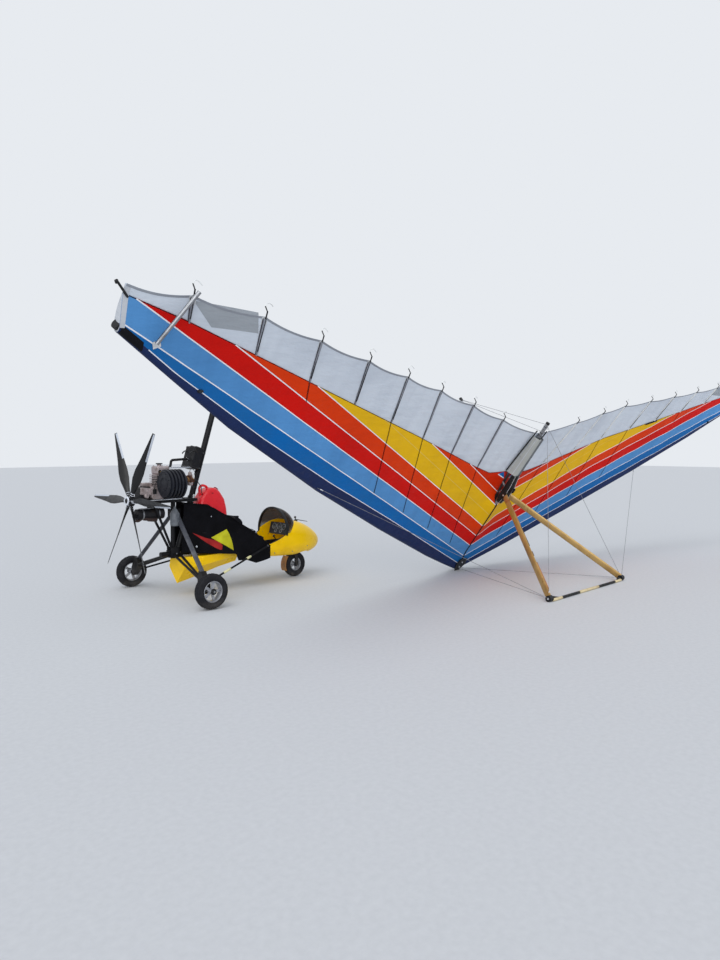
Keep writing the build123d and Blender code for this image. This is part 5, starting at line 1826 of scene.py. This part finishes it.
class AIRCRAFT_OT_pod(bpy.types.Operator):
    """Make the pod's trim, gauges, probe and the screen's band"""

    bl_idname = "aircraft.pod"
    bl_label = "Pod details"

    # how far across and up each gauge is, and its radius
    gauges = ((-0.085, 0.606, 0.034), (0.0, 0.612, 0.038), (0.085, 0.606, 0.034), (-0.045, 0.555, 0.020),
              (0.045, 0.555, 0.020))
    # forward, out and height along the cockpit's lip, and of each screw, on one side
    lip = ((1.142, 0.239, 0.460), (1.223, 0.246, 0.482), (1.318, 0.2535, 0.525), (1.366, 0.2545, 0.548))
    screws = ((1.42, 0.256, 0.530), (1.50, 0.252, 0.500), (1.20, 0.2465, 0.350), (1.45, 0.254, 0.345),
              (1.70, 0.2195, 0.380))

    def execute(self, context):
        trims, screws, grips = [], [], []
        for side in (1, -1):
            edge = [trike(forward, side * out, high) for forward, out, high in self.lip]
            trims.append(tube(edge, 0.0045, 3))
        piece_of("cockpit_trim", trims, "plastic")
        band = sheet(72, 2, self.screen_point, 0.002)
        piece_of("screen_band", [band], "plastic", 60)
        probe = [block(trike(1.711, 0, 0.656), (0.040, 0.026, 0.014), (0, 0.28, 0), 0.004)]
        probe.append(bar(trike(1.708, 0, 0.656), trike(1.703, 0, 0.690), 0.006, sides=12, soft=0.001))
        probe.append(ball(trike(1.703, 0, 0.696), 0.012, (1.3, 1, 1)))
        probe.append(bar(trike(1.715, 0, 0.668), trike(1.892, 0, 0.632), 0.0045, 0.003, 12, 0.001))
        piece_of("nose_probe", probe, "plastic")
        self.panel()
        for side in (1, -1):
            for forward, out, high in self.screws:
                ends = trikes((forward, side * (out - 0.004), high), (forward, side * (out + 0.0015), high))
                screws.append(bar(*ends, 0.006, sides=16, soft=0.001))
        piece_of("pod_screws", screws, "metal")
        lever = [tube(trikes((1.30, -0.170, 0.400), (1.30, -0.170, 0.460), (1.27, -0.165, 0.500),
                             (1.255, -0.165, 0.525)), 0.006, 3)]
        lever.append(ball(trike(1.255, -0.165, 0.530), 0.014))
        piece_of("pod_lever", lever, "plastic")
        for side in (1, -1):
            ends = trikes((1.620, side * 0.120, 0.532), (1.620, side * 0.186, 0.532))
            grips.append(bar(*ends, 0.0135, soft=0.002))
        piece_of("foot_grips", grips, "rubber", body="steering")
        return {"FINISHED"}

    def panel(self):
        """The gauges' rims, faces, marks and pointers on the leaning instrument panel."""
        axis, across = Vector((-0.967, 0, 0.253)), Vector((0, 1, 0))
        up = axis.cross(across).normalized()
        rims, faces, marks = [], [], []
        for y, z, radius in self.gauges:
            centre = trike(1.440 + (z - 0.520) * 0.262 + 0.001, y, z)
            rims.append(ring(centre + axis * 0.003, axis, radius, 0.0035, 32, 8))
            faces.append(bar(centre, centre + axis * 0.002, radius, sides=32, soft=0.0004))
            for number in range(10):
                turn = math.radians(-130 + 29 * number)
                way = across * math.sin(turn) + up * math.cos(turn)
                start = centre + axis * 0.0032 + way * radius * 0.74
                marks.append(bar(start, start + way * radius * 0.14, 0.0009, sides=6))
            pointer = across * math.sin(-0.9 + y * 9) + up * math.cos(-0.9 + y * 9)
            start = centre + axis * 0.0036
            marks.append(bar(start, start + pointer * radius * 0.66, 0.0012, 0.0004, 6))
        piece_of("gauge_rims", rims, "metal")
        piece_of("gauge_faces", faces, "dial")
        piece_of("gauge_marks", marks, "dial_marks")

    def screen_point(self, u, v):
        """A point of the band just off the windscreen's ball, over from its left to its right."""
        ahead, turn = 0.012 + 0.022 * v, math.radians(2 + 176 * u)
        radius = math.sqrt(SCREEN_RADIUS ** 2 - ahead * ahead) + 0.0015
        return trike(SCREEN_AHEAD + ahead, radius * math.cos(turn), SCREEN_HIGH + radius * math.sin(turn))


class AIRCRAFT_PT_panel(bpy.types.Panel):
    """Lists the steps in the order in which they run"""

    bl_idname = "AIRCRAFT_PT_panel"
    bl_label = "Microlight"
    bl_space_type = "VIEW_3D"
    bl_region_type = "UI"
    bl_category = "Microlight"

    def draw(self, context):
        for step in STEPS:
            self.layout.operator(step.bl_idname)
        for group in (context.scene.aircraft_sizes, context.scene.aircraft_colours):
            for key in group.__annotations__:
                self.layout.prop(group, key)


STEPS = (
    AIRCRAFT_OT_stage,
    AIRCRAFT_OT_finishes,
    AIRCRAFT_OT_engine,
    AIRCRAFT_OT_sail,
    AIRCRAFT_OT_wing_fittings,
    AIRCRAFT_OT_tyres,
    AIRCRAFT_OT_propeller,
    AIRCRAFT_OT_panels,
    AIRCRAFT_OT_seat,
    AIRCRAFT_OT_tank,
    AIRCRAFT_OT_frame_details,
    AIRCRAFT_OT_pod,
)
CLASSES = (AircraftSizes, AircraftColours, *STEPS, AIRCRAFT_PT_panel)


def register():
    for item in CLASSES:
        bpy.utils.register_class(item)
    bpy.types.Scene.aircraft_sizes = bpy.props.PointerProperty(type=AircraftSizes)
    bpy.types.Scene.aircraft_colours = bpy.props.PointerProperty(type=AircraftColours)


def unregister():
    del bpy.types.Scene.aircraft_colours
    del bpy.types.Scene.aircraft_sizes
    for item in reversed(CLASSES):
        bpy.utils.unregister_class(item)


def main():
    """Registers the add-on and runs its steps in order."""
    register()
    for step in STEPS:
        group, name = step.bl_idname.split(".")
        getattr(getattr(bpy.ops, group), name)()
    deselect()
    bpy.context.view_layer.update()


if __name__ == "__main__":
    main()
